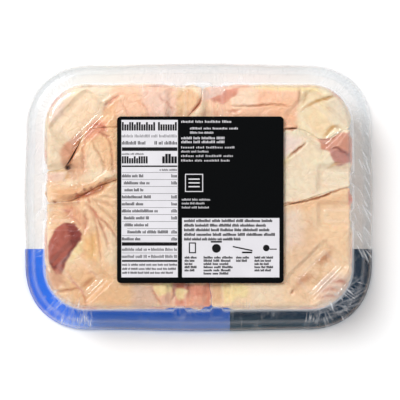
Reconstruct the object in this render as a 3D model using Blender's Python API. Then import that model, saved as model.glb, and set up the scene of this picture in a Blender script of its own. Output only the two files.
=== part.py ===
"""A sealed tray pack of raw chicken thighs, lying on its film side with the tray's base up.

Units are metres, +Z is up. The origin is the middle of the pack's footprint on the
surface that it lies on, +X runs along the long side and +Y along the short side.
"Flare" is the distance outwards from the outline of the tray's base.
"""

import math

import bmesh
import bpy
from mathutils import Vector

# The whole pack
PACK_HEIGHT = 0.045
GAP = 0.0003

# The tray's base outline and how far the rim stands outside it
BASE_HALF_X = 0.0941
BASE_HALF_Y = 0.0686
BASE_RADIUS = 0.0255
BASE_BOW = 0.0004
RIM_FLARE = 0.0147
RIM_BOW = 0.0012

# The paper label on the base
LABEL_SIDE = 0.1016
LABEL_THICKNESS = 0.0003
LABEL_CORNER = 0.0024
LABEL_CENTRE = Vector((0.0011, -0.0017))

# The stretched film, and the mouth in it that the label hides
FILM_THICKNESS = 0.0003
FILM_MOUTH_HALF = 0.040
FILM_TOP = PACK_HEIGHT - LABEL_THICKNESS - GAP

# The clear tray
TRAY_WALL = 0.0008
TRAY_TOP = FILM_TOP - FILM_THICKNESS - GAP
TRAY_FILLET = 0.0045
FLANGE_BOTTOM = FILM_THICKNESS + GAP
FLANGE_TOP = FLANGE_BOTTOM + TRAY_WALL
LIP_FLARE = RIM_FLARE - FILM_THICKNESS - GAP - 0.0001
LIP_TOP = 0.0030
WALL_FOOT_FLARE = 0.0085
WALL_FOOT_HEIGHT = 0.0030

# The pairs of stiffening ribs, sunk into the middle of each side
RIB_WIDTH = 0.0085
RIB_SPACING = 0.0226
RIB_REACH_SHORT_SIDE = 0.0175
RIB_REACH_LONG_SIDE = 0.0210
RIB_DEPTH = 0.0020
RIB_STEP = 0.0030
RIB_FOOT_HEIGHT = 0.008

# The slanted pad that is sunk into each corner of the base
PAD_CENTRE_X = 0.0729
PAD_CENTRE_Y = 0.0462
PAD_RIM = (0.0270, 0.0155)
PAD_FLOOR = (0.0210, 0.0110)
PAD_DEPTH = 0.0020
PAD_CORNER = 0.0035

# The meat, pressed flat between the base and the film
MEAT_TOP = TRAY_TOP - TRAY_WALL - GAP
MEAT_BOTTOM = FILM_THICKNESS + 0.0009
MEAT_INSET = 0.0014
MEAT_HALF_GAP = 0.0005
MEAT_TOP_ROUND = 0.0045
MEAT_BOTTOM_ROUND = 0.0090
MEAT_CORNER_BLEND = 0.0080
MEAT_WAIST_HEIGHT = 0.020
MEAT_FOOT_SCALE = 0.955

# A ring of points this far inside the base's rounded edge keeps its flat middle flat
FLAT_MARGIN = 0.0010

# How finely the round shapes are cut
CORNER_STEPS = 10
SIDE_STEPS = 5
FILLET_STEPS = 4
PAD_STEPS = 4
THIGH_SPOKES = 360
THIGH_POINTS = 48

QUARTER = math.pi / 2
CORNER_SIGNS = ((1, 1), (-1, 1), (-1, -1), (1, -1))
CORNER_X = BASE_HALF_X - BASE_RADIUS
CORNER_Y = BASE_HALF_Y - BASE_RADIUS


def clear_scene():
    """Empty the file of whatever objects it starts with."""
    for item in list(bpy.data.objects):
        bpy.data.objects.remove(item, do_unlink=True)


def make_material(name, colour, roughness, alpha=1.0):
    """A Principled material with one colour."""
    material = bpy.data.materials.new(name)
    material.use_nodes = True
    shader = material.node_tree.nodes["Principled BSDF"]
    shader.inputs["Base Color"].default_value = (*colour, 1.0)
    shader.inputs["Roughness"].default_value = roughness
    shader.inputs["Metallic"].default_value = 0.0
    shader.inputs["Alpha"].default_value = alpha
    material.diffuse_color = (*colour, alpha)
    return material


def rounded_ring(half_x, half_y, radius, steps, side_steps=1, bow=0.0):
    """Points round a rounded rectangle, anticlockwise, its sides swelling out by the bow."""
    ring = []
    for quarter, (sign_x, sign_y) in enumerate(CORNER_SIGNS):
        start = quarter * QUARTER
        centre = Vector((sign_x * (half_x - radius), sign_y * (half_y - radius)))
        for step in range(steps + 1):
            angle = start + QUARTER * step / steps
            ring.append(centre + radius * Vector((math.cos(angle), math.sin(angle))))
        next_x, next_y = CORNER_SIGNS[(quarter + 1) % 4]
        outward = Vector((math.cos(start + QUARTER), math.sin(start + QUARTER)))
        next_centre = Vector((next_x * (half_x - radius), next_y * (half_y - radius)))
        side_start = centre + radius * outward
        side_end = next_centre + radius * outward
        for step in range(1, side_steps):
            share = step / side_steps
            swell = bow * (1 - math.cos(2 * math.pi * share)) / 2
            ring.append(side_start.lerp(side_end, share) + swell * outward)
    return ring


def outline_ring(flare):
    """The pack's outline at one distance outside the base."""
    bow = BASE_BOW + (RIM_BOW - BASE_BOW) * max(flare, 0.0) / RIM_FLARE
    return rounded_ring(
        BASE_HALF_X + flare, BASE_HALF_Y + flare, BASE_RADIUS + flare, CORNER_STEPS, SIDE_STEPS, bow
    )


def at_height(ring, height):
    """Lift a flat ring to a height."""
    return [Vector((point.x, point.y, height)) for point in ring]


def loft(name, rings, material, smooth_angle=30.0):
    """One closed body skinned over equal rings, with a flat cap on the first and the last."""
    shape = bmesh.new()
    rows = [[shape.verts.new(point) for point in ring] for ring in rings]
    for lower, upper in zip(rows, rows[1:]):
        for index, corner in enumerate(lower):
            following = (index + 1) % len(lower)
            shape.faces.new((corner, lower[following], upper[following], upper[index]))
    shape.faces.new(rows[0])
    shape.faces.new(rows[-1])
    return finish_object(name, shape, material, smooth_angle)


def finish_object(name, shape, material, smooth_angle):
    """Turn a bmesh into a named object with its faces pointing out."""
    bmesh.ops.recalc_face_normals(shape, faces=shape.faces)
    mesh = bpy.data.meshes.new(name)
    shape.to_mesh(mesh)
    shape.free()
    mesh.shade_smooth()
    mesh.set_sharp_from_angle(angle=math.radians(smooth_angle))
    if material:
        mesh.materials.append(material)
    made = bpy.data.objects.new(name, mesh)
    bpy.context.scene.collection.objects.link(made)
    return made


def as_cutter(made):
    """Mark an object as a tool that only cuts others."""
    made.hide_render = True
    made.display_type = "WIRE"
    return made


def cut(made, cutter):
    """Take the cutter away from an object."""
    modifier = made.modifiers.new("cut_" + cutter.name, "BOOLEAN")
    modifier.operation = "DIFFERENCE"
    modifier.solver = "EXACT"
    modifier.object = cutter


def base_fillet(grow, slope):
    """Flare and height along the base's rounded edge, from the wall up to the flat base."""
    points = []
    for step in range(FILLET_STEPS + 1):
        angle = slope + (QUARTER - slope) * step / FILLET_STEPS
        flare = (TRAY_FILLET + grow) * math.cos(angle) - TRAY_FILLET
        height = (TRAY_FILLET + grow) * math.sin(angle) + TRAY_TOP - TRAY_FILLET
        points.append((flare, height))
    return points


def wall_slope():
    """The wall's lean from the vertical, seen in its cross-section."""
    return math.atan2(WALL_FOOT_FLARE, TRAY_TOP - TRAY_FILLET - WALL_FOOT_HEIGHT)


def wall_flare(height):
    """How far outside the base the outer face of the wall is at a height."""
    top_flare, top_height = base_fillet(0.0, wall_slope())[0]
    share = (top_height - height) / (top_height - WALL_FOOT_HEIGHT)
    return top_flare + share * (WALL_FOOT_FLARE - top_flare)


def side_prism(shape, side, offset, profile, width):
    """Add a prism across one side: its profile is flare and height, its width runs along."""
    angle = side * QUARTER
    outward = Vector((math.cos(angle), math.sin(angle), 0.0))
    along = Vector((-math.sin(angle), math.cos(angle), 0.0))
    edge = (BASE_HALF_X if side % 2 == 0 else BASE_HALF_Y) + BASE_BOW
    ends = []
    for shift in (-width / 2, width / 2):
        base = along * (offset + shift)
        ends.append(
            [
                shape.verts.new(base + outward * (edge + flare) + Vector((0.0, 0.0, height)))
                for flare, height in profile
            ]
        )
    shape.faces.new(ends[0])
    shape.faces.new(ends[1])
    for index, corner in enumerate(ends[0]):
        following = (index + 1) % len(profile)
        shape.faces.new((corner, ends[0][following], ends[1][following], ends[1][index]))


def rib_profile(grow, reach):
    """Cross-section of a rib: a shallow channel in the base that turns down the wall."""
    clear_top = TRAY_TOP + 0.004
    clear_side = RIM_FLARE + 0.006
    floor = TRAY_TOP - RIB_DEPTH - grow
    foot = wall_flare(RIB_FOOT_HEIGHT) + 0.0002 - grow
    return (
        (-reach - grow, clear_top),
        (-reach - grow, TRAY_TOP - RIB_DEPTH / 2),
        (RIB_DEPTH / 2 - reach - grow, floor),
        (-RIB_STEP - grow, floor),
        (foot, RIB_FOOT_HEIGHT),
        (clear_side, RIB_FOOT_HEIGHT),
        (clear_side, clear_top),
    )


def pad_rings(sign_x, sign_y, grow):
    """Rings of one corner pad, tapering down from above the base to the pad's floor."""
    depth = PAD_DEPTH + grow
    rings = []
    for share in (-1.0, 0.0, 1.0):
        length = PAD_RIM[0] + share * (PAD_FLOOR[0] - PAD_RIM[0]) + 2 * grow
        width = PAD_RIM[1] + share * (PAD_FLOOR[1] - PAD_RIM[1]) + 2 * grow
        ring = rounded_ring(length / 2, width / 2, PAD_CORNER, PAD_STEPS)
        turn = -sign_x * sign_y * math.pi / 4
        turned = []
        for point in ring:
            x = point.x * math.cos(turn) - point.y * math.sin(turn) + sign_x * PAD_CENTRE_X
            y = point.x * math.sin(turn) + point.y * math.cos(turn) + sign_y * PAD_CENTRE_Y
            turned.append(Vector((x, y)))
        rings.append(at_height(turned, TRAY_TOP - share * depth))
    return rings


def make_recesses(name, grow):
    """A cutter that holds every rib and pad, made larger all round by the given amount."""
    shape = bmesh.new()
    for side in range(4):
        profile = rib_profile(grow, RIB_REACH_LONG_SIDE if side % 2 else RIB_REACH_SHORT_SIDE)
        for sign in (-1, 1):
            side_prism(shape, side, sign * RIB_SPACING / 2, profile, RIB_WIDTH + 2 * grow)
    for sign_x, sign_y in CORNER_SIGNS:
        rows = [[shape.verts.new(point) for point in ring] for ring in pad_rings(sign_x, sign_y, grow)]
        for lower, upper in zip(rows, rows[1:]):
            for index, corner in enumerate(lower):
                following = (index + 1) % len(lower)
                shape.faces.new((corner, lower[following], upper[following], upper[index]))
        shape.faces.new(rows[0])
        shape.faces.new(rows[-1])
    return as_cutter(finish_object(name, shape, None, 30.0))


def make_tray(material):
    """The clear tray: an outer body with its recesses, hollowed by a cavity with its bosses."""
    slope = wall_slope()
    outer_profile = [
        (LIP_FLARE - 0.0006, FLANGE_BOTTOM),
        (LIP_FLARE, FLANGE_BOTTOM + 0.0006),
        (LIP_FLARE, LIP_TOP - 0.0004),
        (LIP_FLARE - 0.0003, LIP_TOP),
        (LIP_FLARE - 0.0006, LIP_TOP),
        (LIP_FLARE - 0.0009, LIP_TOP - 0.0004),
        (LIP_FLARE - 0.0010, FLANGE_TOP + 0.0005),
        (LIP_FLARE - 0.0016, FLANGE_TOP),
        (WALL_FOOT_FLARE + 0.0014, FLANGE_TOP),
        (WALL_FOOT_FLARE + 0.0005, FLANGE_TOP + 0.0005),
        (WALL_FOOT_FLARE, WALL_FOOT_HEIGHT),
        *base_fillet(0.0, slope),
        (-TRAY_FILLET - FLAT_MARGIN, TRAY_TOP),
    ]
    cavity_profile = [
        (WALL_FOOT_FLARE + 0.0008, FLANGE_BOTTOM - 0.004),
        (WALL_FOOT_FLARE + 0.0008, FLANGE_BOTTOM + 0.0001),
        (WALL_FOOT_FLARE - TRAY_WALL, WALL_FOOT_HEIGHT - 0.0006),
        *base_fillet(-TRAY_WALL, slope),
        (-TRAY_FILLET - FLAT_MARGIN, TRAY_TOP - TRAY_WALL),
    ]
    tray = loft("tray", [at_height(outline_ring(f), z) for f, z in outer_profile], material)
    cavity = loft("tray_cavity", [at_height(outline_ring(f), z) for f, z in cavity_profile], None)
    as_cutter(cavity)
    cut(cavity, make_recesses("tray_bosses", TRAY_WALL))
    cut(tray, make_recesses("tray_recesses", 0.0))
    cut(tray, cavity)
    return tray


def film_profile(inner):
    """Flare and height along one face of the film, from the flat front up to the flat base."""
    thick = FILM_THICKNESS if inner else 0.0
    tent_rise = TRAY_TOP - LIP_TOP - TRAY_FILLET
    slope = math.atan2(RIM_FLARE, tent_rise)
    grow = GAP + FILM_THICKNESS - thick
    side = RIM_FLARE - thick
    shoulder = LIP_TOP + 0.0002
    return [
        (side - 0.0018, thick),
        (side - 0.0009, thick + 0.0001),
        (side - 0.0002, thick + 0.0005),
        (side, thick + 0.0011),
        (side, shoulder - 0.0004),
        (side - 0.0001, shoulder),
        *base_fillet(grow, slope),
    ]


def make_film(material):
    """The clear film: flat over the front, round the rim and up in a tent over the base."""
    mouth = rounded_ring(FILM_MOUTH_HALF, FILM_MOUTH_HALF, LABEL_CORNER, CORNER_STEPS, SIDE_STEPS)
    mouth = [point + LABEL_CENTRE for point in mouth]
    rings = [at_height(outline_ring(f), z) for f, z in film_profile(inner=False)]
    rings.append(at_height(mouth, FILM_TOP))
    rings.append(at_height(mouth, FILM_TOP - FILM_THICKNESS))
    rings.extend(at_height(outline_ring(f), z) for f, z in reversed(film_profile(inner=True)))
    return loft("film", rings, material)


def make_label(material):
    """The square paper label on the base."""
    ring = rounded_ring(LABEL_SIDE / 2, LABEL_SIDE / 2, LABEL_CORNER, CORNER_STEPS)
    ring = [point + LABEL_CENTRE for point in ring]
    heights = (PACK_HEIGHT - LABEL_THICKNESS, PACK_HEIGHT)
    return loft("label", [at_height(ring, height) for height in heights], material)


def ease(value):
    """Rise smoothly from 0 to 1 as the value goes from 0 to 1."""
    held = min(max(value, 0.0), 1.0)
    return held * held * (3 - 2 * held)


def column_seam(y):
    """Where the left and the right thighs meet: x at a given y."""
    return 0.0052 - 0.036 * y


def left_upper_seam(x):
    """The seam under the top left thigh, which laps round the tray's side."""
    wrap = 0.0265 * (1 + math.tanh((x + 0.0765) / 0.010)) / 2
    return 0.0165 + wrap - 0.015 * ease((x + 0.050) / 0.055)


def left_lower_seam(x):
    """The seam between the middle and the low left thighs."""
    return -0.0035 + 0.0125 * ease((x + 0.080) / 0.034) - 0.006 * ease((x + 0.045) / 0.050)


def right_upper_seam(x):
    """The seam under the top right thigh, with a sag near the tray's side."""
    sag = 0.007 * math.exp(-(((x - 0.0765) / 0.009) ** 2))
    return 0.024 + 0.018 * ease((x - 0.005) / 0.045) - sag


def right_lower_seam(x):
    """The seam between the middle and the low right thighs, rising to the side."""
    return -0.006 + 0.012 * ease((x - 0.045) / 0.050)


# Each thigh has a middle, a side of the column seam, and the seams below and above it
THIGHS = {
    "thigh_top_left": (Vector((-0.060, 0.056)), -1, left_upper_seam, None),
    "thigh_mid_left": (Vector((-0.042, 0.021)), -1, left_lower_seam, left_upper_seam),
    "thigh_low_left": (Vector((-0.045, -0.034)), -1, None, left_lower_seam),
    "thigh_top_right": (Vector((0.052, 0.056)), 1, right_upper_seam, None),
    "thigh_mid_right": (Vector((0.050, 0.018)), 1, right_lower_seam, right_upper_seam),
    "thigh_low_right": (Vector((0.052, -0.036)), 1, None, right_lower_seam),
}


def blend_least(first, second):
    """The lesser of two distances, with the corner between them rounded off."""
    share = max(MEAT_CORNER_BLEND - abs(first - second), 0.0) / MEAT_CORNER_BLEND
    return min(first, second) - share * share * MEAT_CORNER_BLEND / 4


def seam_distance(x, y, seam):
    """Distance of a point above a seam, measured across the seam."""
    reach = 0.0005
    rise = (seam(x + reach) - seam(x - reach)) / (2 * reach)
    return (y - seam(x)) / math.hypot(1.0, rise)


def meat_depth(x, y, column_side, seam_below, seam_above):
    """How far inside a thigh's outline a point lies."""
    over_x = abs(x) - CORNER_X
    over_y = abs(y) - CORNER_Y
    outside = math.hypot(max(over_x, 0.0), max(over_y, 0.0)) + min(max(over_x, over_y), 0.0)
    depth = BASE_RADIUS - MEAT_INSET - outside
    across = column_side * (x - column_seam(y)) - MEAT_HALF_GAP
    depth = blend_least(depth, across)
    if seam_below:
        depth = blend_least(depth, seam_distance(x, y, seam_below) - MEAT_HALF_GAP)
    if seam_above:
        depth = blend_least(depth, -seam_distance(x, y, seam_above) - MEAT_HALF_GAP)
    return depth


def evenly_spaced(loop, count):
    """Points at equal steps along a closed loop."""
    closed = loop + [loop[0]]
    lengths = [0.0]
    for first, second in zip(closed, closed[1:]):
        lengths.append(lengths[-1] + (second - first).length)
    points = []
    index = 0
    for step in range(count):
        goal = lengths[-1] * step / count
        while lengths[index + 1] < goal:
            index += 1
        share = (goal - lengths[index]) / (lengths[index + 1] - lengths[index])
        points.append(closed[index].lerp(closed[index + 1], share))
    return points


def thigh_outline(middle, limits):
    """Walk out from the middle along each spoke until the thigh's edge is reached."""
    outline = []
    for spoke in range(THIGH_SPOKES):
        angle = 2 * math.pi * spoke / THIGH_SPOKES
        direction = Vector((math.cos(angle), math.sin(angle)))
        near = 0.0
        far = 0.0
        while meat_depth(*(middle + far * direction), *limits) > 0.0:
            near = far
            far += 0.002
        for _ in range(20):
            half = (near + far) / 2
            if meat_depth(*(middle + half * direction), *limits) > 0.0:
                near = half
            else:
                far = half
        outline.append(middle + near * direction)
    return evenly_spaced(outline, THIGH_POINTS)


def edge_drop(depth, radius):
    """How far a rounded edge has fallen at a given depth inside the outline."""
    short = radius - min(max(depth, 0.0), radius)
    return radius - math.sqrt(radius * radius - short * short)


def make_thigh(name, material, clearance):
    """One thigh: a flat-pressed piece of meat with rounded edges, fitted to its neighbours."""
    middle, *limits = THIGHS[name]
    outline = thigh_outline(middle, limits)
    scales = (0.15, 0.45, 0.70, 0.84, 0.92, 0.97)

    def level(scale, foot, height):
        ring = [middle + (point - middle) * scale * foot for point in outline]
        return at_height(ring, height)

    def face(scale, foot, start, direction, radius):
        ring = []
        for point in outline:
            flat = middle + (point - middle) * scale
            height = start - direction * edge_drop(meat_depth(*flat, *limits), radius)
            placed = middle + (flat - middle) * foot
            ring.append(Vector((placed.x, placed.y, height)))
        return ring

    rings = [face(scale, 1.0, MEAT_TOP, 1, MEAT_TOP_ROUND) for scale in scales]
    rings.append(level(1.0, 1.0, MEAT_TOP - MEAT_TOP_ROUND))
    rings.append(level(1.0, 1.0, MEAT_WAIST_HEIGHT))
    rings.append(level(1.0, MEAT_FOOT_SCALE, MEAT_BOTTOM + MEAT_BOTTOM_ROUND))
    for scale in reversed(scales):
        rings.append(face(scale, MEAT_FOOT_SCALE, MEAT_BOTTOM, -1, MEAT_BOTTOM_ROUND))
    thigh = loft(name, rings, material, 60.0)
    cut(thigh, clearance)
    return thigh


def build():
    """Make every piece of the pack."""
    clear_scene()
    clear_plastic = make_material("clear_plastic", (0.93, 0.95, 0.96), 0.12, 0.35)
    stretch_film = make_material("stretch_film", (0.95, 0.96, 0.97), 0.10, 0.20)
    black_paper = make_material("black_paper", (0.02, 0.02, 0.02), 0.35)
    raw_skin = make_material("raw_skin", (0.83, 0.56, 0.38), 0.40)
    make_tray(clear_plastic)
    make_film(stretch_film)
    make_label(black_paper)
    clearance = make_recesses("meat_clearance", TRAY_WALL + GAP)
    for name in THIGHS:
        make_thigh(name, raw_skin, clearance)


build()
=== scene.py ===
# %% [markdown]
# # A tray pack of raw chicken thighs, base up
#
# A supermarket tray pack is four things: pieces of raw meat, a thin clear tray, a
# clear film stretched round it, and a paper label stuck on the base. The pack lies
# on its film side here, so the camera looks down on the base of the tray and sees
# the skin of the thighs pressed flat against it.
#
# The solids of all these pieces already exist as a fixed model. This script loads
# that model and builds the fine surface and the finish of each piece round it.

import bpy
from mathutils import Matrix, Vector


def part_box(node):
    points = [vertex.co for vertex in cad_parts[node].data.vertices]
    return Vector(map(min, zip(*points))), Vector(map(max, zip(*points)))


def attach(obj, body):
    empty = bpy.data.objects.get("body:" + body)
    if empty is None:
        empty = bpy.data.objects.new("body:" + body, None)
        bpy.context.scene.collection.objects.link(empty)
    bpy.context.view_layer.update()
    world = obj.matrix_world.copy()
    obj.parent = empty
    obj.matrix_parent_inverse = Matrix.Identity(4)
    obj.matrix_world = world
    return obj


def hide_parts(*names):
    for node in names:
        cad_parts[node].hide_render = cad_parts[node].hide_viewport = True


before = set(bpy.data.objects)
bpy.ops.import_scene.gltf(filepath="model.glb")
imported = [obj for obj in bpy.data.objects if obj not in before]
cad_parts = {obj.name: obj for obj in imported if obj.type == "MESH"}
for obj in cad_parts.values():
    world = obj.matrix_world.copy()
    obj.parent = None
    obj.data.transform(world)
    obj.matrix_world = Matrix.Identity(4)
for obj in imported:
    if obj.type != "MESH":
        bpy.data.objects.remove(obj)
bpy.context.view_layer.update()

# %% [markdown]
# ## Sizes
#
# Everything is in metres. Heights are read from the fixed model, so that each new
# surface sits exactly where its solid is. The outline of the tray's base is a
# rounded rectangle. "Flare" is how far outside that outline a line runs: the rim
# of the pack is the same outline with a flare of 14.6 mm.

# %% Read the heights and set the outline
import math

import bpy
import numpy as np
from mathutils import Vector

BASE_HALF_X = 0.0941
BASE_HALF_Y = 0.0686
BASE_RADIUS = 0.0255
BASE_BOW = 0.0004
RIM_BOW = 0.0012
CORNER_X = BASE_HALF_X - BASE_RADIUS
CORNER_Y = BASE_HALF_Y - BASE_RADIUS

FILM_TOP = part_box("film")[1].z
TRAY_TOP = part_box("tray")[1].z
LABEL_LOW, LABEL_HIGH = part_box("label")
MEAT_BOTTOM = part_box("thigh_low_left")[0].z
MEAT_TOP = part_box("thigh_low_left")[1].z
RIM_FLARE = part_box("film")[1].x - BASE_HALF_X - RIM_BOW
TRAY_WALL = TRAY_TOP - MEAT_TOP - 0.0003
print("tray base at", round(1000 * TRAY_TOP, 2), "mm, rim flare", round(1000 * RIM_FLARE, 2), "mm")

# %% [markdown]
# The pack was measured in a photograph taken straight from above, where one pixel
# is 0.61 mm on the base. A small helper turns a place in that picture, column and
# row, into metres on the base. Folds and patches of the skin are laid out with it.

# %% Turn a place in the picture into metres
PIXEL = 0.00061
MIDDLE_COLUMN = 198.5
MIDDLE_ROW = 197.0


def on_base(places):
    """Metres on the base for a list of (column, row) places in the picture."""
    spots = np.asarray(places, float)
    return np.stack(
        [(spots[:, 0] - MIDDLE_COLUMN) * PIXEL, (MIDDLE_ROW - spots[:, 1]) * PIXEL], axis=1
    )


def linear(red, green, blue):
    """A colour read off a screen, 0 to 255, as the linear light that Blender mixes."""
    shares = np.array([red, green, blue]) / 255.0
    return np.where(shares <= 0.04045, shares / 12.92, ((shares + 0.055) / 1.055) ** 2.4)


def ease(value):
    """Rise smoothly from 0 to 1 as the value goes from 0 to 1."""
    held = np.clip(value, 0.0, 1.0)
    return held * held * (3 - 2 * held)


# %% [markdown]
# ## Noise for shaping
#
# Meat is uneven at every size. Blender has noise textures for shading, but a mesh
# that is shaped in code needs noise in numbers. This is value noise: random values
# on a lattice with smooth steps between them, and several sizes of it added up.

# %% Noise in numbers
def lattice_noise(x, y, cell, seed):
    """Smooth values from -1 to 1 that change over the given cell size."""
    size = 256
    table = np.random.default_rng(seed).uniform(-1.0, 1.0, (size, size))
    across = x / cell + size / 2
    along = y / cell + size / 2
    column = np.floor(across).astype(int)
    row = np.floor(along).astype(int)
    share_x = ease(across - column)
    share_y = ease(along - row)

    def level(at_row):
        here = table[at_row % size, column % size]
        return here * (1 - share_x) + table[at_row % size, (column + 1) % size] * share_x

    return level(row) * (1 - share_y) + level(row + 1) * share_y


def layered_noise(x, y, cell, seed, layers=3):
    """Noise of several sizes, each half as large and half as strong as the one before."""
    total = 0.0
    for layer in range(layers):
        total = total + lattice_noise(x, y, cell / 2**layer, seed + layer) / 2**layer
    return total


# %% [markdown]
# ## Where one thigh ends and the next begins
#
# Six thighs fill the tray in two columns. Each seam between them is a gentle curve,
# so one short function per seam is enough. The distance to the nearest seam or to
# the tray's side tells how deep inside its thigh a point lies. That depth shapes
# the outline and rounds the edges, with no list of outline points.

# %% The seams between the thighs
MEAT_INSET = 0.0014
SEAM_HALF_GAP = 0.00006
CORNER_BLEND = 0.0024


def column_seam(y):
    """Where the left and the right thighs meet: x at a given y, with a bay in the top left tip."""
    wander = 0.0005 * layered_noise(y, 0 * y, 0.007, 41)
    return 0.0052 - 0.036 * y - 0.011 * np.exp(-(((y - 0.046) / 0.010) ** 2)) + wander


def left_upper_seam(x):
    """The seam under the top left thigh, which laps round the tray's side."""
    wrap = 0.0265 * (1 + np.tanh((x + 0.0745) / 0.0060)) / 2
    return 0.0162 + wrap - 0.015 * ease((x + 0.050) / 0.055)


def left_lower_seam(x):
    """The seam between the middle and the low left thighs."""
    wander = 0.0005 * layered_noise(x, 0 * x, 0.007, 42)
    return -0.0035 + 0.0135 * ease((x + 0.086) / 0.037) - 0.006 * ease((x + 0.045) / 0.050) + wander


def right_upper_seam(x):
    """The seam under the top right thigh, with a sag near the tray's side."""
    sag = 0.007 * np.exp(-(((x - 0.0765) / 0.009) ** 2))
    return 0.024 + 0.018 * ease((x - 0.005) / 0.045) - sag


def right_lower_seam(x):
    """The seam between the middle and the low right thighs, rising to the side."""
    return -0.006 + 0.012 * ease((x - 0.045) / 0.050)


# Each thigh has a middle, a side of the column seam, and the seams below and above it
THIGHS = {
    "thigh_top_left": ((-0.060, 0.056), -1, left_upper_seam, None),
    "thigh_mid_left": ((-0.042, 0.021), -1, left_lower_seam, left_upper_seam),
    "thigh_low_left": ((-0.045, -0.034), -1, None, left_lower_seam),
    "thigh_top_right": ((0.052, 0.056), 1, right_upper_seam, None),
    "thigh_mid_right": ((0.050, 0.018), 1, right_lower_seam, right_upper_seam),
    "thigh_low_right": ((0.052, -0.036), 1, None, right_lower_seam),
}


# %% Depth inside a thigh
def tray_depth(x, y):
    """How far inside the base's outline a point lies."""
    over_x = np.abs(x) - CORNER_X
    over_y = np.abs(y) - CORNER_Y
    outside = np.hypot(np.maximum(over_x, 0.0), np.maximum(over_y, 0.0))
    return BASE_RADIUS - outside - np.minimum(np.maximum(over_x, over_y), 0.0)


def blend_least(first, second):
    """The lesser of two distances, with the corner between them rounded off."""
    share = np.maximum(CORNER_BLEND - np.abs(first - second), 0.0) / CORNER_BLEND
    return np.minimum(first, second) - share * share * CORNER_BLEND / 4


def seam_distance(x, y, seam):
    """Distance of a point above a seam, measured across the seam."""
    reach = 0.0005
    rise = (seam(x + reach) - seam(x - reach)) / (2 * reach)
    return (y - seam(x)) / np.hypot(1.0, rise)


def seam_depth(x, y, side, below, above):
    """How far a point lies from the seams round its thigh."""
    reach = 0.0005
    slant = (column_seam(y + reach) - column_seam(y - reach)) / (2 * reach)
    depth = side * (x - column_seam(y)) / np.hypot(1.0, slant) - SEAM_HALF_GAP
    if below:
        depth = blend_least(depth, seam_distance(x, y, below) - SEAM_HALF_GAP)
    if above:
        depth = blend_least(depth, -seam_distance(x, y, above) - SEAM_HALF_GAP)
    return depth


def thigh_depth(x, y, limits):
    """How far inside its thigh a point lies."""
    return blend_least(tray_depth(x, y) - MEAT_INSET, seam_depth(x, y, *limits))


# %% [markdown]
# ## Folds and creases
#
# Raw skin folds where it is tucked under, and creases where it is pressed. Each one
# is a short route over the base, with a width and a depth in millimetres and a
# shade colour: the crease's colour is darkened towards it as painted shade, tinted
# with the meat's own browns and reds. Five or six points are enough, as a smooth
# curve runs through them.

# %% Routes of the folds
# The folds' colours: painted shade in the creases, tinted with the meat's own browns and reds; the darkest
# is the painted shade of a deep hole
BROWN = linear(176, 108, 66)
RED_BROWN = linear(186, 96, 72)
OCHRE = linear(196, 148, 84)
DARK_RED = linear(112, 40, 30)
HOLLOW_SHADE = linear(52, 14, 8)
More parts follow.
